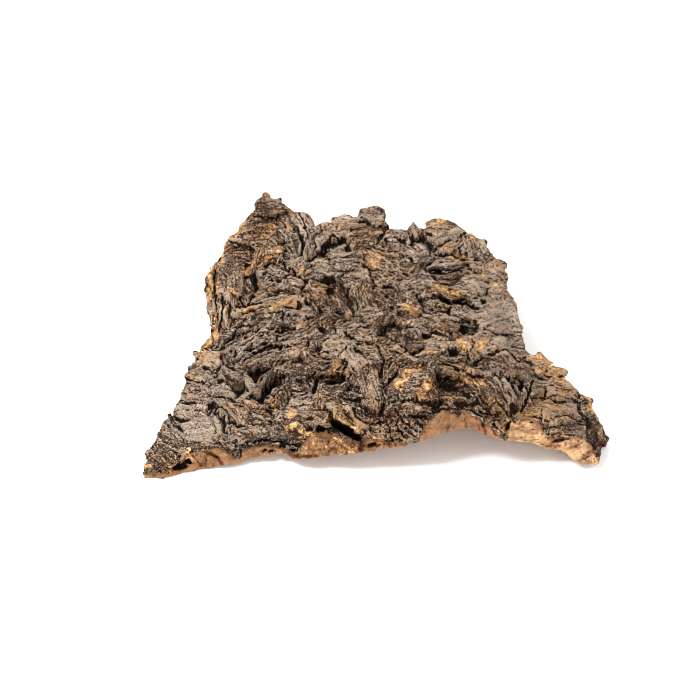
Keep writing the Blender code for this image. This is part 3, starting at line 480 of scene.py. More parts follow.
def lay_out():
    across, down = np.meshgrid(
        (A0 + (np.arange(NA) + 0.5) / PER).astype(F32), (D0 + (np.arange(ND) + 0.5) / PER).astype(F32)
    )
    wa = across + 3.6 * noise2(across / 23, down / 23, 1) + 2.4 * noise2(across / 10, down / 10, 2)
    wa += 1.5 * noise2(across / 4.6, down / 4.6, 3) + 0.8 * noise2(across / 2.2, down / 2.2, 4)
    wd = down + 3.6 * noise2(across / 23, down / 23, 5) + 2.4 * noise2(across / 10, down / 10, 6)
    wd += 1.5 * noise2(across / 4.6, down / 4.6, 7) + 0.8 * noise2(across / 2.2, down / 2.2, 8)

    # which plate each place is on, which is next to it, and how far off the line between them is
    shape = across.shape
    first, second = np.full(shape, 50.0, F32), np.full(shape, 60.0, F32)
    own, beside = np.zeros(shape, np.int32), np.zeros(shape, np.int32)
    steep1, steep2 = np.full(shape, 0.1, F32), np.full(shape, 0.1, F32)
    u1, v1 = np.zeros(shape, F32), np.zeros(shape, F32)
    flow_c, flow_s = np.full(shape, 1e-4, F32), np.zeros(shape, F32)
    for n, (px, py, turn, half_long, half_wide, _) in enumerate(PLATES):
        c, s = math.cos(math.radians(turn)), math.sin(math.radians(turn))
        reach = 3.2 * max(half_long, half_wide) + 16
        i0, i1 = np.clip([int((px - reach - A0) * PER), int((px + reach - A0) * PER)], 0, NA)
        j0, j1 = np.clip([int((py - reach - D0) * PER), int((py + reach - D0) * PER)], 0, ND)
        w = (slice(j0, j1), slice(i0, i1))
        u, v = (wa[w] - px) * c + (wd[w] - py) * s, (wd[w] - py) * c - (wa[w] - px) * s
        away = np.hypot(u / half_long, v / half_wide) + 1e-6
        steep = np.hypot(u / half_long**2, v / half_wide**2) / away
        near = away < first[w]
        next_one = ~near & (away < second[w])
        for new, old, value in ((second, first, away), (beside, own, n), (steep2, steep1, steep)):
            new[w] = np.where(near, old[w], np.where(next_one, value, new[w]))
        for new, value in ((first, away), (own, n), (steep1, steep), (u1, u), (v1, v)):
            new[w] = np.where(near, value, new[w])
        weight = np.exp(-away * away) * (half_long / half_wide)
        bend = 0.5 * u / half_long  # the layers curve round a plate's ends
        angle = 2 * (math.radians(turn) + BEND[n] * bend)
        flow_c[w] += weight * np.cos(angle)
        flow_s[w] += weight * np.sin(angle)
    gap = (second - first) / (steep1 + steep2)

    table = np.array(PLATES, float)
    count = len(PLATES)
    tilt_u, tilt_v = RNG.normal(0, 0.035, count), RNG.normal(0.05, 0.06, count)
    bright, hue = RNG.normal(0, 1.0, count), RNG.normal(0, 1.0, count)
    rise = np.where(table[:, 5] > 0, 0.95, 0.5) * table[:, 5]

    # the fibres and the edges of the layers run along the plates
    angle = 0.5 * np.arctan2(blur(flow_s, 2.0), blur(flow_c, 2.0))
    angle = angle + 0.30 * noise2(across / 30, down / 30, 9) + 0.30 * noise2(across / 9, down / 9, 10)
    tx, ty = np.cos(angle).astype(F32), np.sin(angle).astype(F32)
    grain_noise = RNG.random((4, ND, NA)).astype(F32)
    coarse = streaks(blur(grain_noise[0], 1.9), tx, ty, 18, 2.4)
    medium = streaks(blur(grain_noise[1], 0.85), tx, ty, 18, 1.5)
    fine = streaks(blur(grain_noise[2], 0.36), tx, ty, 12, 1.1)

    layer = v1 + BEND[own] * u1 * u1 / (4 * table[own, 3]) + 1.6 * noise2(u1 / 9 + own * 3.1, v1 / 7, 11)
    run = u1 + 2.0 * noise2(u1 / 8, v1 / 8 + own * 1.7, 12)
    layer, run = layer.astype(F32), run.astype(F32)

    # the plates: their own height, a low crown and a tilt
    openness = smooth(0.14 + 1.0 * noise2(across / 26, down / 26, 21) + 0.6 * noise2(across / 9, down / 9, 22))
    mixing = smooth(gap / (7.5 - 5.7 * openness) + 0.5)
    height = rise[own] * mixing + rise[beside] * (1 - mixing)
    height = height + 0.9 * (1 - np.minimum(first, 1.2) ** 2) + (tilt_u[own] * u1 + tilt_v[own] * v1) * mixing
    height = height.astype(F32)
    height += 1.0 * noise2(across / 22, down / 22, 13) + 0.30 * fbm2(wa / 9, wd / 9, 2, 15)

    # fissures between some of the plates
    height -= (0.1 + 2.8 * openness) * smooth(1 - gap / (1.3 + 2.0 * openness))
    height -= (0.15 + 1.3 * openness) * smooth(1 - gap / 0.8)

    # smaller flakes, longer than wide
    f1, f2, flake = cells2(run / 13 + own * 7.7, layer / 3.8 + own * 3.3, 1)
    loose = smooth(0.45 + noise2(across / 13, down / 13, 27))
    height += (0.25 + 1.0 * loose) * (flake - 0.5) * smooth((f2 - f1) / 0.12)
    height -= (0.05 + 0.4 * loose) * smooth(1 - (f2 - f1) / 0.10)

    # layers and fibres
    ribby = 0.25 + 0.5 * noise2(across / 16, down / 16, 28)
    for px, py, rx, ry, more in RIBS:
        ribby = ribby + more * np.exp(-(((across - px) / rx) ** 2 + ((down - py) / ry) ** 2))
    kept = 1 - 0.75 * np.clip(-2.0 * ribby, 0, 1).astype(F32)  # less of it where the bark is worn
    ribby = np.clip(ribby, 0, 1).astype(F32)
    height += kept * (0.16 + 0.55 * ribby) * terrace(coarse + 0.6 * medium, 1.25, 4.0)
    height += kept * ((0.12 + 0.16 * ribby) * medium + (0.14 + 0.16 * ribby) * fine)
    height -= 1.5 * ribby * smooth((-coarse - 1.2) / 0.4)
    height -= 0.9 * ribby * smooth((-medium - 1.2) / 0.4) + (0.15 + 0.4 * ribby) * smooth((-fine - 1.3) / 0.4)
    strata = height + 0.7 * noise2(across / 12, down / 12, 29)
    height += 0.55 * kept * (terrace(strata, 0.7, 4.0) - strata)
    grit = noise2(across / 2.4, down / 2.4, 18)
    height += 0.30 * grit + 0.46 * noise2(across / 1.2, down / 1.2, 19) + 0.35 * noise2(run / 5.0, layer / 1.7, 20)

    # holes and long cracks
    hollow = np.zeros(shape, F32)
    ha = across + 1.6 * noise2(across / 5, down / 5, 23) + 0.9 * noise2(across / 2.2, down / 2.2, 24)
    hd = down + 1.6 * noise2(across / 5, down / 5, 25) + 0.9 * noise2(across / 2.2, down / 2.2, 26)
    for px, py, rx, ry, turn, deep in HOLES:
        c, s = math.cos(math.radians(turn)), math.sin(math.radians(turn))
        u, v = (ha - px) * c + (hd - py) * s, (hd - py) * c - (ha - px) * s
        hollow = np.maximum(hollow, 0.40 * deep * smooth((1.1 - np.hypot(u / rx, v / ry)) / 0.8))
    for points, half, deep in CRACKS:
        hollow = np.maximum(hollow, 0.55 * deep * smooth(1.25 - along(points, ha, hd) / (0.8 * half)))
    height -= hollow

    # how far below or above its surroundings each place is, near and far
    close, middle, far = (blur(height, r) - height for r in (1.3, 3.2, 9.0))
    # painted shade: darker in the crevices, the holes and cracks, and broad low places
    crevice_shade = np.clip(0.42 * np.clip(close / 0.75, -0.6, 1) + 0.42 * np.clip(middle / 1.5, -0.4, 1), 0, 1)
    crevice_shade = np.maximum(crevice_shade, 0.75 * np.clip((far - 1.0) / 3.0, 0, 1))
    crevice_shade = np.maximum(crevice_shade, smooth(hollow / 2.4) * 0.94)
    proud = np.clip(-close / 0.6, 0, 1) * 0.6 + np.clip(-middle / 1.6, 0, 1) * 0.4

    # bare cork
    fa = across + 2.2 * noise2(across / 6, down / 6, 31) + 1.3 * noise2(across / 2.6, down / 2.6, 32)
    fd = down + 2.2 * noise2(across / 6, down / 6, 33) + 1.3 * noise2(across / 2.6, down / 2.6, 34)
    fresh = np.zeros(shape, F32)
    for points, half, strength in FRESH:
        fresh = np.maximum(fresh, strength * smooth(1.5 - along(points, fa, fd) / (0.9 * half)))
    fresh *= 0.62 + 0.34 * noise2(across / 3.0, down / 3.0, 35) + 0.16 * coarse + 0.16 * medium + 0.10 * fine
    specks = smooth((noise2(across / 1.5, down / 1.5, 36) - 0.46) / 0.2) * smooth(
        (noise2(across / 22, down / 22, 37) + 0.35) / 0.5
    )
    specks *= 0.75 * smooth(proud * 1.8)
    fresh = np.clip(np.maximum(fresh, specks), 0, 1) * (1 - 0.6 * smooth(crevice_shade * 1.4 - 0.3))

    # the bark's own lighter and darker ground, lighter where it stands proud, with painted shade from the darker
    # entries of the table at some hollows and under overhangs
    tone_and_shade = 0.14 * bright[own] + 0.22 * (flake - 0.5) + 0.09 * medium + 0.10 * fine + 0.22 * (proud - 0.2)
    tone_and_shade = tone_and_shade + 0.19 * noise2(across / 14, down / 14, 41) + 0.10 * noise2(across / 5, down / 5, 44)
    for px, py, rx, ry, more in TONES_AND_SHADES:
        tone_and_shade = tone_and_shade + more * np.exp(-(((across - px) / rx) ** 2 + ((down - py) / ry) ** 2))
    warm = 0.10 * hue[own] + 0.30 * noise2(across / 30, down / 30, 42) + 0.30 * noise2(across / 7, down / 7, 43)

    for px, py, rx, ry, more in BROWNS:
        warm = warm + more * np.exp(-(((across - px) / rx) ** 2 + ((down - py) / ry) ** 2))

    # the broken front edge: holes in it, and lumps that stand out
    face = np.zeros(shape, F32)
    for px, py, rx, ry, turn, deep in FACE:
        c, s = math.cos(math.radians(turn)), math.sin(math.radians(turn))
        u, v = (ha - px) * c + (hd - py) * s, (hd - py) * c - (ha - px) * s
        dent = deep * smooth((1.25 - np.hypot(u / rx, v / ry)) / 0.6)
        face = face + dent if deep < 0 else np.maximum(face, dent)

    # the front edge below the bark: bare cut, with dark streaks, and painted shade in the hollows between its lumps and
    # just under the bark
    border = np.interp(across, *np.array(BORDER).T)
    drips = 2.6 * noise2(across / 4.2, down / 9, 61) + 1.4 * noise2(across / 1.8, down / 4, 62)
    cut = smooth((down - border + drips + 1.2 * noise2(across / 3, down / 3, 63)) / 1.6 + 0.5)
    veins_and_shade = np.zeros(shape, F32)
    va, vd = across + 0.9 * noise2(across / 3, down / 3, 64), down + 0.9 * noise2(across / 3, down / 3, 65)
    for points, half, strength in VEINS:
        veins_and_shade = np.maximum(veins_and_shade, strength * smooth(1.5 - along(points, va, vd) / half))
    veins_and_shade *= 0.80 + 0.5 * noise2(across / 4, down / 4, 66) + 0.35 * noise2(across / 1.7, down / 1.7, 67)
    upright = smooth((noise2(across / 1.7 + down / 9, down / 6.5, 68) - 0.34) / 0.26)
    lying = smooth((noise2(across / 9 + down / 4, down / 1.5, 69) - 0.26) / 0.26)
    level = smooth((across - 498) / 14)
    veins_and_shade = np.maximum(veins_and_shade, 0.42 * upright * (1 - level) + 0.50 * lying * level)
    lumpy = 0.30 + 0.9 * np.exp(-(((across - 340) / 42) ** 2)) + 0.4 * level
    lumps = 1.0 * noise2(across / 6, down / 4, 70) + 0.8 * noise2(across / 2.6, down / 2.2, 71) - 0.4 * upright
    relief = (height - blur(height, 8.0)) * (1 - 0.8 * cut) * (1 - np.clip(face / 5.0, 0, 0.9)) - 0.5 * veins_and_shade
    relief = relief + cut * lumpy * lumps
    # painted shade in the hollows between the lumps, carried with the streaks
    veins_and_shade = np.maximum(veins_and_shade, 0.55 * lumpy * smooth((-lumps - 0.25) / 0.9))
    # the cut's tone: painted shade on its lumps and just under the bark above, over its own lighter and darker ground
    inner = np.exp(-(((across - 342) / 36) ** 2))
    shaded = (0.35 + 0.35 * inner) * lumpy * lumps + (0.40 + 0.25 * inner) * noise2(across / 13, down / 9, 72)
    shaded = shaded + 0.05 + 0.42 * level - 0.17 * smooth((400 - across) / 60) - 0.20 * inner
    shaded = shaded - (0.55 + 0.35 * inner) * smooth(1 - (down - border) / (4.5 + 2.5 * inner))  # darker just under the bark
    tone_and_shade = tone_and_shade * (1 - cut) + cut * shaded

    lean = 0.40 + 0.55 * noise2(across / 26, down / 26, 51)
    canvas = {
        "height": height, "crevice_shade": crevice_shade, "fresh": fresh, "tone_and_shade": tone_and_shade, "warm": warm, "lean": lean,
        "even": blur(height, 3.0), "face": face, "cut": cut, "veins_and_shade": veins_and_shade, "relief": relief, "border": border,
    }
    canvas = {k: np.ascontiguousarray(v, dtype=F32) for k, v in canvas.items()}
    return canvas, layer, run, own.astype(F32)


def sample(image, across, down):
    x = np.clip((across - A0) * PER - 0.5, 0, NA - 1.01).astype(F32)
    y = np.clip((down - D0) * PER - 0.5, 0, ND - 1.01).astype(F32)
    i, j = x.astype(np.int32), y.astype(np.int32)
    fx, fy = x - i, y - j
    top = image[j, i] * (1 - fx) + image[j, i + 1] * fx
    low = image[j + 1, i] * (1 - fx) + image[j + 1, i + 1] * fx
    return top * (1 - fy) + low * fy


# ---------------------------------------------------------------- the solid
def make_outline():
    front, right = side(FRONT, False), side(RIGHT, True)
    back, left = side(BACK, True), side(LEFT, True)
    right = np.vstack([front[-1:], right, back[:1]])
    back = np.vstack([back, left[:1]])
    left = np.vstack([left, front[:1]])
    return np.vstack([evenly(rows, 110)[:-1] for rows in (front, right, back, left)])


def edge_distance(x, y, outline):
    """Distance inside the outline, negative outside, and which part of the outline is nearest (0 front, 1, 2, 3)."""
    best, where = np.full(x.shape, 1e9), np.zeros(x.shape, np.int32)
    inside = np.zeros(x.shape, bool)
    count = len(outline)
    for n in range(count):
        ax, ay = outline[n, :2]
        bx, by = outline[(n + 1) % count, :2]
        dx, dy = bx - ax, by - ay
        t = np.clip(((x - ax) * dx + (y - ay) * dy) / (dx * dx + dy * dy + 1e-12), 0, 1)
        away = np.hypot(x - ax - t * dx, y - ay - t * dy)
        near = away < best
        best, where = np.where(near, away, best), np.where(near, n * 4 // count, where)
        if ay != by:
            crosses = ((ay > y) != (by > y)) & (x < ax + (y - ay) * dx / dy)
            inside ^= crosses
    return np.where(inside, best, -best), where


def smooth_max(a, b, reach):
    h = np.clip(0.5 + 0.5 * (a - b) / reach, 0, 1)
    return b * (1 - h) + a * h + reach * h * (1 - h)


STEP = 0.57  # millimetres between samples of the solid


class Slab:
    """The bark as a solid in space. Its field is negative inside."""

    def __init__(self):
        self.canvas, self.layer, self.run, self.own = lay_out()
        self.outline = make_outline()
        lo, hi = self.outline[:, :2].min(0) - 5, self.outline[:, :2].max(0) + 5
        self.x = np.arange(lo[0], hi[0], STEP)
        self.y = np.arange(lo[1], hi[1], STEP)
        self.z = np.arange(-2.2, 66, STEP)
        # the slow plan maps come from a coarser grid
        coarse = 1.3
        self.corner, self.coarse = lo, coarse
        x, y = np.meshgrid(np.arange(lo[0], hi[0] + 3, coarse), np.arange(lo[1], hi[1] + 3, coarse), indexing="ij")
        self.plan = self.plan_maps(x, y)

    def plan_maps(self, x, y):
        flat = x.ravel(), y.ravel()
        sd, where = edge_distance(*flat, self.outline)
        pull, rim = 0.0, 0.0
        for ox, oy, oz in self.outline[::2]:
            weight = 1.0 / (np.hypot(flat[0] - ox, flat[1] - oy) + 1.0) ** 3
            pull, rim = pull + weight, rim + weight * oz
        rim = rim / pull
        felt = np.exp(-((np.maximum(sd, 0) / RIM_REACH) ** 2))
        body = body_top(*flat)
        base = rim * felt + body * (1 - felt)
        across, down = view_of(*flat, base)
        lean = sample(self.canvas["lean"], across, down) * (1 - 0.7 * felt)
        out = {"sd": sd, "front": (where == 0).astype(float), "felt": felt, "base": base, "lean": lean}
        return {k: v.reshape(x.shape).astype(F32) for k, v in out.items()}

    def at(self, x, y):
        """The plan maps at any points."""
        u, v = (x - self.corner[0]) / self.coarse, (y - self.corner[1]) / self.coarse
        shape = self.plan["sd"].shape
        u, v = np.clip(u, 0, shape[0] - 1.01), np.clip(v, 0, shape[1] - 1.01)
        i, j = u.astype(np.int32), v.astype(np.int32)
        fu, fv = (u - i).astype(F32), (v - j).astype(F32)
        out = {}
        for name, grid in self.plan.items():
            low = grid[i, j] * (1 - fu) + grid[i + 1, j] * fu
            high = grid[i, j + 1] * (1 - fu) + grid[i + 1, j + 1] * fu
            out[name] = low * (1 - fv) + high * fv
        out["foot"] = arch(x, y).astype(F32)
        return out

    def parts(self, x, y, z, m):
        """How far a point is over the top, outside the edge and under the underside, and where it is on the canvas."""
        seen = m["base"] + m["lean"] * (z - m["base"])
        across, down = view_of(x, y, seen)
        top = z - m["base"] - sample(self.canvas["height"], across, down) * (1 - 0.62 * m["felt"])
        layers = noise3(x / 9, y / 9, z / 2.3, 3)
        layers = layers + 0.5 * np.sign(layers) * smooth((np.abs(layers) - 0.25) / 0.12)
        rough = 1.3 * layers + 0.9 * noise3(x / 3.5, y / 3.5, z / 5, 4) + 1.2 * noise3(x / 14, y / 14, z / 16, 10)
        chipped = 0.6 * noise3(x / 9, y / 9, z / 6, 5) + 0.5 * noise3(x / 2.4, y / 2.4, z / 3.2, 35)
        edge = -m["sd"] + rough * (1 - 0.6 * m["front"]) + m["front"] * chipped
        close = m["front"] * smooth((17 - m["sd"]) / 2) * smooth((z - m["foot"] - 0.6) / 1.8)
        ahead = view_of(x, y, z)
        edge = edge + close * (sample(self.canvas["face"], *ahead) - 0.8 * sample(self.canvas["relief"], *ahead))
        pits = noise3(x / 9, y / 9, z / 9, 6)
        under = m["foot"] - z + np.where(m["foot"] > 0.3, 0.6 * pits + 0.25 * noise3(x / 6, y / 24, z / 6, 7), 0)
        ragged = noise3(x / 3.1, y / 3.1, z / 9, 33) + 0.7 * noise3(x / 1.5, y / 1.5, z / 9, 34)
        under = under + 0.9 * ragged * np.clip(1 - m["sd"] / 5, 0, 1)
        return top, edge, under, across, down

    def whole(self, top, edge, under, x, y, z, m, across, down):
        roll = m["front"] * smooth((sample(self.canvas["border"], across, down) - down - 2.0) / 9.0)
        field = smooth_max(top * 0.7, edge, 1.1 + 7.0 * roll)
        field = smooth_max(field, under, 0.7)
        rough = 0.30 * noise3(x / 2.6, y / 2.6, z / 2.2, 8) + 0.22 * noise3(x / 1.3, y / 1.3, z / 1.1, 9)
        return field + rough * smooth((z - 1.0) / 2.0) * smooth((-0.4 - under) / 1.6)

    def grid(self):
        gx, gy = np.meshgrid(self.x, self.y, indexing="ij")
        maps = self.at(gx, gy)
        field = np.full((len(self.x), len(self.y), len(self.z)), 5.0, F32)
        reach_in = 16 + 2 * maps["front"]
        for k, z in enumerate(self.z):
            over, below = z - maps["base"], z - maps["foot"]
            solid = (over < -17) & (below > 2.5) & (maps["sd"] > reach_in)
            near = (over < 12) & (below > -2.5) & (maps["sd"] > -5) & ~solid
            level = field[:, :, k]
            level[solid] = -5.0
            x, y = gx[near].astype(F32), gy[near].astype(F32)
            m = {name: grid[near] for name, grid in maps.items()}
            top, edge, under, across, down = self.parts(x, y, F32(z), m)
            level[near] = self.whole(top, edge, under, x, y, F32(z), m, across, down)
        self.add_knobs(field)
        field[[0, -1]] = 5
        field[:, [0, -1]] = 5
        field[:, :, [0, -1]] = 5
        return field


    def add_knobs(self, field):
        """Joins the knobs, spikes and flakes to the solid."""
        for a0, d0, z0, r0, a1, d1, z1, r1 in KNOBS:
            start = np.array([*plan_of(a0, d0, z0), z0], float)
            way = np.array([*plan_of(a1, d1, z1), z1], float) - start
            lo = np.minimum(start, start + way) - max(r0, r1) - 2.5
            hi = np.maximum(start, start + way) + max(r0, r1) + 2.5
            at = [slice(*np.searchsorted(line, (lo[n], hi[n]))) for n, line in enumerate((self.x, self.y, self.z))]
            x, y, z = np.meshgrid(self.x[at[0]], self.y[at[1]], self.z[at[2]], indexing="ij")
            t = np.clip(((x - start[0]) * way[0] + (y - start[1]) * way[1] + (z - start[2]) * way[2]) / (way @ way), 0, 1)
            away = np.sqrt((x - start[0] - t * way[0]) ** 2 + (y - start[1] - t * way[1]) ** 2 + (z - start[2] - t * way[2]) ** 2)
            knob = away - r0 - t * (r1 - r0) + 0.9 * noise3(x / 3.4, y / 3.4, z / 2.0, 21) + 0.5 * noise3(x / 1.5, y / 1.5, z / 1.2, 22)
            field[at[0], at[1], at[2]] = -smooth_max(-field[at[0], at[1], at[2]], -knob, 1.2)


def skin(field, origin, step):
    """The surface where the field crosses zero, as quads."""
    inside = field < 0
    nx, ny, nz = field.shape
    count = np.zeros((nx - 1, ny - 1, nz - 1), np.uint8)
    corners = [(a, b, c) for a in (0, 1) for b in (0, 1) for c in (0, 1)]
    for a, b, c in corners:
        count += inside[a : nx - 1 + a, b : ny - 1 + b, c : nz - 1 + c]
    i, j, k = np.nonzero((count > 0) & (count < 8))
    index = np.full(count.shape, -1, np.int32)
    index[i, j, k] = np.arange(len(i))
    place, hits = np.zeros((len(i), 3)), np.zeros(len(i))
    for p in corners:
        for axis in range(3):
            if p[axis]:
                continue
            q = list(p)
            q[axis] = 1
            fp, fq = field[i + p[0], j + p[1], k + p[2]], field[i + q[0], j + q[1], k + q[2]]
            cut = (fp < 0) != (fq < 0)
            t = fp[cut] / (fp[cut] - fq[cut])
            for n in range(3):
                place[cut, n] += t if n == axis else p[n]
            hits[cut] += 1
    verts = origin + (np.column_stack([i, j, k]) + place / hits[:, None]) * step
    quads = []
    for axis in range(3):
        a, b = [(1, 2), (2, 0), (0, 1)][axis]
        low = [slice(None)] * 3
        high = [slice(None)] * 3
        low[axis], high[axis] = slice(0, -1), slice(1, None)
        before, after = inside[tuple(low)], inside[tuple(high)]
        at = np.array(np.nonzero(before != after))
        keep = (at[a] > 0) & (at[b] > 0)
        for n in (a, b):
            keep &= at[n] < index.shape[n]
        at = at[:, keep]
        outward = before[tuple(at)]

        def cell(da, db):
            q = at.copy()
            q[a] -= da
            q[b] -= db
            return index[tuple(q)]

        ring = np.column_stack([cell(1, 1), cell(0, 1), cell(0, 0), cell(1, 0)])
        ring[~outward] = ring[~outward][:, ::-1]
        quads.append(ring)
    quads = np.vstack(quads)
    return verts, quads[(quads >= 0).all(axis=1)]


def largest(verts, quads):
    """Drops loose crumbs: keeps the largest connected piece."""
    label = np.arange(len(verts))
    while True:
        low = label[quads].min(axis=1)
        new = label.copy()
        for n in range(4):
            np.minimum.at(new, quads[:, n], low)
        new = np.minimum(new, new[new])
        new = new[new]
        if (new == label).all():
            break
        label = new
    names, counts = np.unique(label, return_counts=True)
    keep = label == names[counts.argmax()]
    renumber = np.cumsum(keep) - 1
    quads = quads[keep[quads[:, 0]]]
    return verts[keep], renumber[quads]


def thin_out(verts, quads, limit):
    """A mesh of at most limit triangles."""
    mesh = bpy.data.meshes.new("full")
    mesh.from_pydata(verts.tolist(), [], quads.tolist())
    mesh.update()
    obj = bpy.data.objects.new("full", mesh)
    bpy.context.scene.collection.objects.link(obj)
    triangles = len(quads) * 2
    if triangles > limit:
        modifier = obj.modifiers.new("thin", "DECIMATE")
        modifier.ratio = limit / triangles
        modifier.use_collapse_triangulate = True
    made = bpy.data.meshes.new_from_object(obj.evaluated_get(bpy.context.evaluated_depsgraph_get()))
    bpy.data.objects.remove(obj, do_unlink=True)
    bpy.data.meshes.remove(mesh)
    return made


def attribute(mesh, name, kind, values):
    made = mesh.attributes.new(name, kind, "POINT")
    made.data.foreach_set("vector" if kind == "FLOAT_VECTOR" else "color", np.ascontiguousarray(values, F32).ravel())


def make_bark(patches):
    """The skin of the bark as a few patches that meet without a seam."""
    slab = Slab()
    verts, quads = skin(slab.grid(), np.array([slab.x[0], slab.y[0], slab.z[0]]), STEP)
    verts, quads = largest(verts, quads)
    print("bark skin:", len(verts), "points", len(quads), "quads")
    whole = thin_out(verts, quads, 186_000 * patches)

    count = len(whole.vertices)
    p = np.empty(count * 3)
    whole.vertices.foreach_get("co", p)
    p = p.reshape(-1, 3)
    normal = np.empty(count * 3)
    whole.vertices.foreach_get("normal", normal)
    normal = normal.reshape(-1, 3)
    x, y, z = p.T
    m = slab.at(x, y)
    top, edge, under, across, down = slab.parts(x, y, z, m)
    ahead = view_of(x, y, z)
    wall = smooth((edge - top * 0.7) / 1.6 + 0.5) * smooth((19 - m["sd"]) / 3)
    toward = EYE - p
    seen = smooth((normal * toward).sum(axis=1) / np.linalg.norm(toward, axis=1) / 0.25)
    faced = wall * np.maximum(m["front"], seen)
    across, down = across + (ahead[0] - across) * faced, down + (ahead[1] - down) * faced
    get = {name: sample(image, across, down) for name, image in slab.canvas.items()}
    i = np.clip(((across - A0) * PER).astype(int), 0, NA - 1)
    j = np.clip(((down - D0) * PER).astype(int), 0, ND - 1)
    off = z - m["base"] - get["even"]
    off = np.sign(off) * np.maximum(np.abs(off) - 1.3, 0)  # on steep walls the layers show as level lines
    grain = np.column_stack([slab.run[j, i], slab.layer[j, i] + 1.7 * off, slab.own[j, i]])

    jagged = 1.3 * noise3(x / 3.0, y / 3.0, z / 9, 12) + 0.9 * noise3(x / 1.3, y / 1.3, z / 6, 13)
    sided = np.clip((edge - top * 0.7) / 2.2 - 0.75 + 0.75 * jagged, 0, 1) * smooth((edge + 2.2) / 1.6)
    sided = sided * (1 - m["front"]) * (1 - 0.75 * seen) + get["cut"] * faced * m["front"]
    beneath = smooth((under - np.maximum(edge, top * 0.7)) / 1.2 + 0.5) * (normal[:, 2] < 0.3)
    # how deep the front edge is dented, for the painted shade in the dents
    dent = np.clip(get["face"] / 5.0, 0, 1) * faced * m["front"] * smooth((m["sd"] - 0.5) / 3)
    masks = np.column_stack([get["crevice_shade"], get["fresh"], get["tone_and_shade"] * 0.5 + 0.5, get["warm"] * 0.5 + 0.5])
    masks[:, 0] *= 1 - np.maximum(sided, beneath)
    older = 0.7 * np.clip(sided, 0, 1) * (1 - m["front"])
    masks[:, 1] *= 1 - older
    masks[:, 2] += (0.45 - masks[:, 2]) * older
    aged = 0.30 + 0.28 * noise3(x / 8, y / 8, z / 4, 31) + 0.35 * noise3(x / 2.5, y / 2.5, z / 1.2, 32)
    # dark streaks and painted shade on the front cut, weathered streaks on the other sides
    streaked_and_shaded = get["veins_and_shade"] * faced * m["front"] + aged * sided * (1 - m["front"])
    more = np.column_stack([sided, beneath, streaked_and_shaded, dent])

    bump = 0.14 * noise3(x / 1.1, y / 1.1, z / 1.1, 14)
    p = p + normal * (bump * smooth((z - 0.8) / 1.0))[:, None]
    p[:, 2] = np.maximum(p[:, 2], 0.0)
    p[:, 0] -= CENTRE[0]
    p[:, 1] -= CENTRE[1]
    p *= 0.001
    whole.vertices.foreach_set("co", p.ravel())
    whole.update()
    whole.vertices.foreach_get("normal", normal.reshape(-1))
    whole.calc_loop_triangles()
    tris = np.empty(len(whole.loop_triangles) * 3, np.int32)
    whole.loop_triangles.foreach_get("vertices", tris)
    tris = tris.reshape(-1, 3)
    bpy.data.meshes.remove(whole)

    # patches side by side, from left to right, with about as many triangles each
    middle = p[tris, 0].mean(axis=1)
    order = np.argsort(middle, kind="stable")
    made = []
    for n, share in enumerate(np.array_split(order, patches)):
        used, renumbered = np.unique(tris[share], return_inverse=True)
        mesh = bpy.data.meshes.new(f"cork_bark_{n + 1}")
        mesh.from_pydata(p[used].tolist(), [], renumbered.reshape(-1, 3).tolist())
        mesh.shade_smooth()
        attribute(mesh, "masks", "FLOAT_COLOR", masks[used])
        attribute(mesh, "more", "FLOAT_COLOR", more[used])
        attribute(mesh, "grain", "FLOAT_VECTOR", grain[used])
        mesh.normals_split_custom_set_from_vertices(normal[used].tolist())
        obj = bpy.data.objects.new(f"cork_bark_{n + 1}", mesh)
        bpy.context.scene.collection.objects.link(obj)
        made.append(obj)
    return made


# ---------------------------------------------------------------- materials
class Nodes:
    """Short names for the nodes of a material."""

    def __init__(self, name):
        self.material = bpy.data.materials.new(name)
        self.material.use_nodes = True
        self.tree = self.material.node_tree
        self.shader = self.tree.nodes["Principled BSDF"]

    def put(self, socket, value):
        if isinstance(value, bpy.types.NodeSocket):
            self.tree.links.new(value, socket)
        elif value is not None:
            socket.default_value = value

    def node(self, kind, **settings):
        made = self.tree.nodes.new(kind)
        for name, value in settings.items():
            setattr(made, name, value)
        return made

    def attribute(self, name, output):
        return self.node("ShaderNodeAttribute", attribute_name=name).outputs[output]

    def split(self, name):
        """The four channels of a painted attribute."""
        source = self.node("ShaderNodeAttribute", attribute_name=name)
        parts = self.node("ShaderNodeSeparateColor")
        self.tree.links.new(source.outputs["Color"], parts.inputs[0])
        return parts.outputs[0], parts.outputs[1], parts.outputs[2], source.outputs["Alpha"]

    def math(self, operation, a, b=None, c=None, clamp=False):
        made = self.node("ShaderNodeMath", operation=operation, use_clamp=clamp)
        for socket, value in zip(made.inputs, (a, b, c)):
            self.put(socket, value)
        return made.outputs[0]

    def vector(self, operation, a, b=None):
        made = self.node("ShaderNodeVectorMath", operation=operation)
        self.put(made.inputs[0], a)
        if b is not None:
            self.put(made.inputs[1], b)
        return made.outputs[0]

    def ramp(self, value, low, high, to_low=0.0, to_high=1.0, kind="SMOOTHSTEP"):
        made = self.node("ShaderNodeMapRange", interpolation_type=kind)
        for socket, v in zip(made.inputs, (value, low, high, to_low, to_high)):
            self.put(socket, v)
        return made.outputs[0]

    def noise(self, vector, scale, detail=4.0, roughness=0.55, distortion=0.0):
        made = self.node("ShaderNodeTexNoise")
        self.put(made.inputs["Vector"], vector)
        for name, value in (("Scale", scale), ("Detail", detail), ("Roughness", roughness), ("Distortion", distortion)):
            self.put(made.inputs[name], value)
        return made.outputs[0]

    def mix(self, factor, a, b, blend="MIX"):
        made = self.node("ShaderNodeMix", data_type="RGBA", blend_type=blend)
        self.put(made.inputs[0], factor)
        self.put(made.inputs[6], a)
        self.put(made.inputs[7], b)
        return made.outputs[2]


def rgb(r, g, b):
    """A colour given as it looks on screen, 0 to 255."""
    def linear(v):
        v /= 255.0
        return v / 12.92 if v <= 0.04045 else ((v + 0.055) / 1.055) ** 2.4
    return (linear(r), linear(g), linear(b), 1.0)


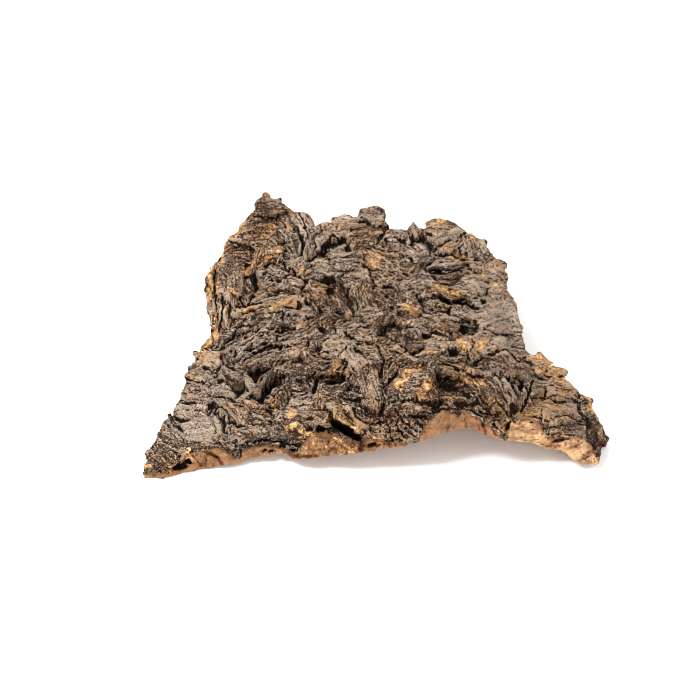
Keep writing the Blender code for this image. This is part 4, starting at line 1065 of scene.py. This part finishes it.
def bark_material():
    n = Nodes("weathered_cork_bark")
    crevice_shade, fresh, tone_and_shade, warm = n.split("masks")
    sided, beneath, veins_and_shade, dent = n.split("more")
    place = n.node("ShaderNodeTexCoord").outputs["Object"]
    grain = n.attribute("grain", "Vector")

    # thin dark lines and fibres along the layers of each plate
    lines = n.noise(n.vector("MULTIPLY", grain, (0.024, 0.34, 3.7)), 1.0, 5.0, 0.66, 0.12)
    fibres = n.noise(n.vector("MULTIPLY", grain, (0.058, 0.86, 5.1)), 1.0, 4.0, 0.68, 0.1)
    splits = n.ramp(n.math("ABSOLUTE", n.math("SUBTRACT", lines, 0.5)), 0.0, 0.05, 1.0, 0.0)
    hairs = n.ramp(n.math("ABSOLUTE", n.math("SUBTRACT", fibres, 0.5)), 0.0, 0.07, 1.0, 0.0)
    grit = n.noise(place, 760.0, 5.0, 0.68)
    sand = n.noise(place, 1500.0, 2.0, 0.6)
    mottle = n.noise(place, 190.0, 5.0, 0.62)
    patches = n.noise(place, 42.0, 4.0, 0.55)
    splits = n.math("MULTIPLY", splits, n.ramp(mottle, 0.38, 0.60))
    hairs = n.math("MULTIPLY", hairs, n.ramp(grit, 0.36, 0.58))

    dark, mid, light = rgb(56, 42, 33), rgb(110, 92, 78), rgb(184, 164, 145)
    # the ground colour follows the tone, which holds painted shade at some hollows and under overhangs
    shade = n.math("MULTIPLY_ADD", tone_and_shade, 2.5, -0.76)
    shade = n.math("ADD", shade, n.ramp(lines, 0.35, 0.65, -0.20, 0.20))
    shade = n.math("ADD", shade, n.ramp(fibres, 0.36, 0.64, -0.46, 0.46))
    shade = n.math("ADD", shade, n.ramp(grit, 0.34, 0.66, -0.58, 0.58))
    shade = n.math("ADD", shade, n.ramp(sand, 0.32, 0.68, -0.46, 0.46))
    shade = n.math("ADD", shade, n.ramp(mottle, 0.3, 0.7, -0.12, 0.12))
    ramp = n.node("ShaderNodeValToRGB")
    ramp.color_ramp.elements[0].position, ramp.color_ramp.elements[0].color = 0.05, dark
    ramp.color_ramp.elements[1].position, ramp.color_ramp.elements[1].color = 1.0, light
    middle = ramp.color_ramp.elements.new(0.5)
    middle.color = mid
    n.put(ramp.inputs[0], shade)
    colour = ramp.outputs[0]
    brown = n.mix(1.0, colour, rgb(250, 222, 190), "MULTIPLY")
    colour = n.mix(n.ramp(n.math("ADD", warm, n.ramp(patches, 0.3, 0.7, -0.2, 0.2)), 0.30, 0.95), colour, brown)

    # dark pores and pale crumbs
    pores = n.ramp(n.noise(place, 540.0, 2.0, 0.5), 0.59, 0.68)
    pores = n.math("MULTIPLY", pores, n.ramp(mottle, 0.40, 0.62, 0.15, 0.8))
    colour = n.mix(pores, colour, rgb(38, 25, 16))
    crumbs = n.ramp(n.noise(n.vector("ADD", place, (0.31, 0.12, 0.2)), 820.0, 2.0, 0.55), 0.60, 0.67)
    crumbs = n.math("MULTIPLY", crumbs, n.ramp(patches, 0.38, 0.60, 0.10, 0.85))
    colour = n.mix(crumbs, colour, n.mix(n.ramp(mottle, 0.40, 0.60), rgb(186, 138, 92), rgb(218, 194, 162)))

    # painted shade in the crevices, nearly black
    depth = n.math("ADD", crevice_shade, n.ramp(grit, 0.3, 0.7, 0.19, -0.19))
    depth = n.math("ADD", depth, n.ramp(sand, 0.32, 0.68, 0.19, -0.19))
    depth = n.math("MULTIPLY_ADD", splits, 0.30, depth)
    depth = n.math("MULTIPLY_ADD", hairs, 0.25, depth)
    colour = n.mix(n.ramp(depth, 0.15, 0.70, 0.0, 0.98), colour, rgb(20, 11, 6))

    # bare cork, crumbly and orange-tan, with browner bark around it
    crumb = n.noise(place, 560.0, 4.0, 0.72)
    around = n.math("MULTIPLY", n.ramp(fresh, 0.04, 0.5, 0.0, 0.55), n.math("SUBTRACT", 1.0, crevice_shade))
    colour = n.mix(around, colour, rgb(146, 106, 70))
    bare = n.math("ADD", fresh, n.ramp(crumb, 0.3, 0.7, -0.32, 0.32))
    bare = n.math("ADD", bare, n.ramp(sand, 0.32, 0.68, -0.12, 0.12))
    bare = n.math("MULTIPLY_ADD", splits, -0.25, bare)
    bare_colour = n.mix(n.ramp(crumb, 0.38, 0.62), rgb(146, 98, 58), n.mix(n.ramp(fresh, 0.35, 0.9), rgb(214, 160, 98), rgb(238, 204, 154)))
    bare_colour = n.mix(n.ramp(mottle, 0.35, 0.7, 0.0, 0.6), bare_colour, rgb(194, 144, 92))
    colour = n.mix(n.ramp(bare, 0.40, 0.56), colour, bare_colour)

    # the broken edge: tan, with growth rings, dark streaks, painted shade between its lumps and just under the bark,
    # and darker painted shade in its hollows
    rings = n.noise(n.vector("MULTIPLY", place, (60.0, 60.0, 420.0)), 1.0, 5.0, 0.65, 0.6)
    cut_colour = n.mix(n.ramp(rings, 0.35, 0.68, 0.0, 0.75), rgb(158, 118, 84), rgb(112, 78, 52))
    cut_colour = n.mix(n.ramp(mottle, 0.3, 0.7, 0.0, 0.5), cut_colour, rgb(170, 132, 98))
    cut_colour = n.mix(n.ramp(grit, 0.54, 0.70, 0.0, 0.7), cut_colour, rgb(94, 64, 43))
    cut_colour = n.mix(n.ramp(sand, 0.34, 0.66, 0.45, 0.0), cut_colour, rgb(120, 84, 56))
    cut_colour = n.mix(n.ramp(n.noise(place, 70.0, 4.0, 0.6), 0.50, 0.68, 0.0, 0.55), cut_colour, rgb(112, 78, 52))
    # the cut's tone: painted shade on its lumps and just under the bark, and its lighter and darker ground
    cut_colour = n.mix(n.ramp(tone_and_shade, 0.54, 0.92, 0.0, 0.85), cut_colour, rgb(206, 168, 126))
    cut_colour = n.mix(n.ramp(tone_and_shade, 0.14, 0.52, 0.75, 0.0), cut_colour, rgb(84, 56, 36))
    cut_colour = n.mix(n.ramp(bare, 0.40, 0.60, 0.0, 0.75), cut_colour, bare_colour)
    # dark streaks, with painted shade in the hollows between the lumps
    streak_and_shade = n.math("ADD", veins_and_shade, n.ramp(grit, 0.3, 0.7, -0.2, 0.2))
    cut_colour = n.mix(n.ramp(n.noise(place, 330.0, 3.0, 0.6), 0.57, 0.66, 0.0, 0.75), cut_colour, rgb(84, 54, 36))
    cut_colour = n.mix(n.ramp(streak_and_shade, 0.22, 0.6, 0.0, 0.9), cut_colour, rgb(78, 42, 27))
    colour = n.mix(n.ramp(n.math("ADD", sided, n.ramp(grit, 0.3, 0.7, -0.2, 0.2)), 0.35, 0.6), colour, cut_colour)
    # painted shade in the dents of the front edge, nearly black
    hollow = n.math("ADD", dent, n.ramp(mottle, 0.3, 0.7, -0.08, 0.08))
    colour = n.mix(n.ramp(hollow, 0.12, 0.6, 0.0, 0.96), colour, rgb(24, 14, 8))

    # the underside: smooth inner bark
    under = n.mix(n.ramp(mottle, 0.3, 0.7), rgb(146, 108, 78), rgb(180, 140, 102))
    under = n.mix(n.ramp(n.noise(place, 260.0, 2.0, 0.5), 0.6, 0.7, 0.0, 0.7), under, rgb(92, 60, 42))
    colour = n.mix(beneath, colour, under)
    n.put(n.shader.inputs["Base Color"], colour)
    n.put(n.shader.inputs["Roughness"], n.ramp(grit, 0.3, 0.7, 0.82, 0.96))
    n.shader.inputs["Specular IOR Level"].default_value = 0.05

    raised = n.math("MULTIPLY_ADD", lines, 0.7, n.math("MULTIPLY", fibres, 0.9))
    raised = n.math("MULTIPLY_ADD", splits, -0.55, raised)
    raised = n.math("MULTIPLY_ADD", hairs, -0.30, raised)
    raised = n.math("MULTIPLY", raised, n.math("SUBTRACT", 1.0, n.math("MAXIMUM", sided, beneath)))
    raised = n.math("MULTIPLY_ADD", grit, 0.6, raised)
    raised = n.math("MULTIPLY_ADD", mottle, 0.7, raised)
    bump = n.node("ShaderNodeBump")
    bump.inputs["Strength"].default_value = 1.0
    bump.inputs["Distance"].default_value = 0.0015
    n.put(bump.inputs["Height"], raised)
    n.put(n.shader.inputs["Normal"], bump.outputs[0])
    return n.material


def floor_material():
    n = Nodes("pale_floor")
    n.shader.inputs["Base Color"].default_value = (0.96, 0.96, 0.96, 1.0)
    n.shader.inputs["Roughness"].default_value = 0.9
    n.shader.inputs["Specular IOR Level"].default_value = 0.1
    return n.material


# ---------------------------------------------------------------- floor, light and camera
def make_floor():
    mesh = bpy.data.meshes.new("floor")
    mesh.from_pydata([(-8, -8, 0), (8, -8, 0), (8, 8, 0), (-8, 8, 0)], [], [(0, 1, 2, 3)])
    mesh.materials.append(floor_material())
    floor = bpy.data.objects.new("floor", mesh)
    floor.location.z = -0.0001
    bpy.context.scene.collection.objects.link(floor)


def area(name, location, size, power, colour=(1, 1, 1)):
    data = bpy.data.lights.new(name, "AREA")
    data.shape, data.size, data.energy, data.color = "DISK", size, power, colour
    lamp = bpy.data.objects.new(name, data)
    lamp.location = location
    lamp.rotation_euler = (Vector((0, 0, 0.02)) - Vector(location)).to_track_quat("-Z", "Y").to_euler()
    bpy.context.scene.collection.objects.link(lamp)


def make_light():
    world = bpy.data.worlds.new("studio")
    world.use_nodes = True
    world.node_tree.nodes["Background"].inputs[0].default_value = (1, 1, 1, 1)
    world.node_tree.nodes["Background"].inputs[1].default_value = 1.22
    bpy.context.scene.world = world
    area("key", (-0.75, -0.35, 1.2), 0.6, 32)
    area("fill", (0.4, -1.5, 0.5), 1.2, 9)


def make_camera():
    data = bpy.data.cameras.new("camera")
    data.sensor_width = 36.0
    data.lens = 36.0 * VIEW_DISTANCE / VIEW_WIDTH
    data.clip_start, data.clip_end = 0.05, 20.0
    camera = bpy.data.objects.new("camera", data)
    camera.location = ((EYE[0] - CENTRE[0]) / 1000, (EYE[1] - CENTRE[1]) / 1000, EYE[2] / 1000)
    camera.rotation_euler = (math.pi / 2 - VIEW_ELEVATION, 0, 0)
    bpy.context.scene.collection.objects.link(camera)
    bpy.context.scene.camera = camera


make_camera()
make_light()
make_floor()
cork = bark_material()
for piece in make_bark(5):
    piece.data.materials.append(cork)
    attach(piece, "root")
    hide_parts("bark")

bpy.context.scene.view_settings.view_transform = "Standard"
bpy.context.scene.view_settings.look = "None"
bpy.context.scene.cycles.filter_width = 0.78
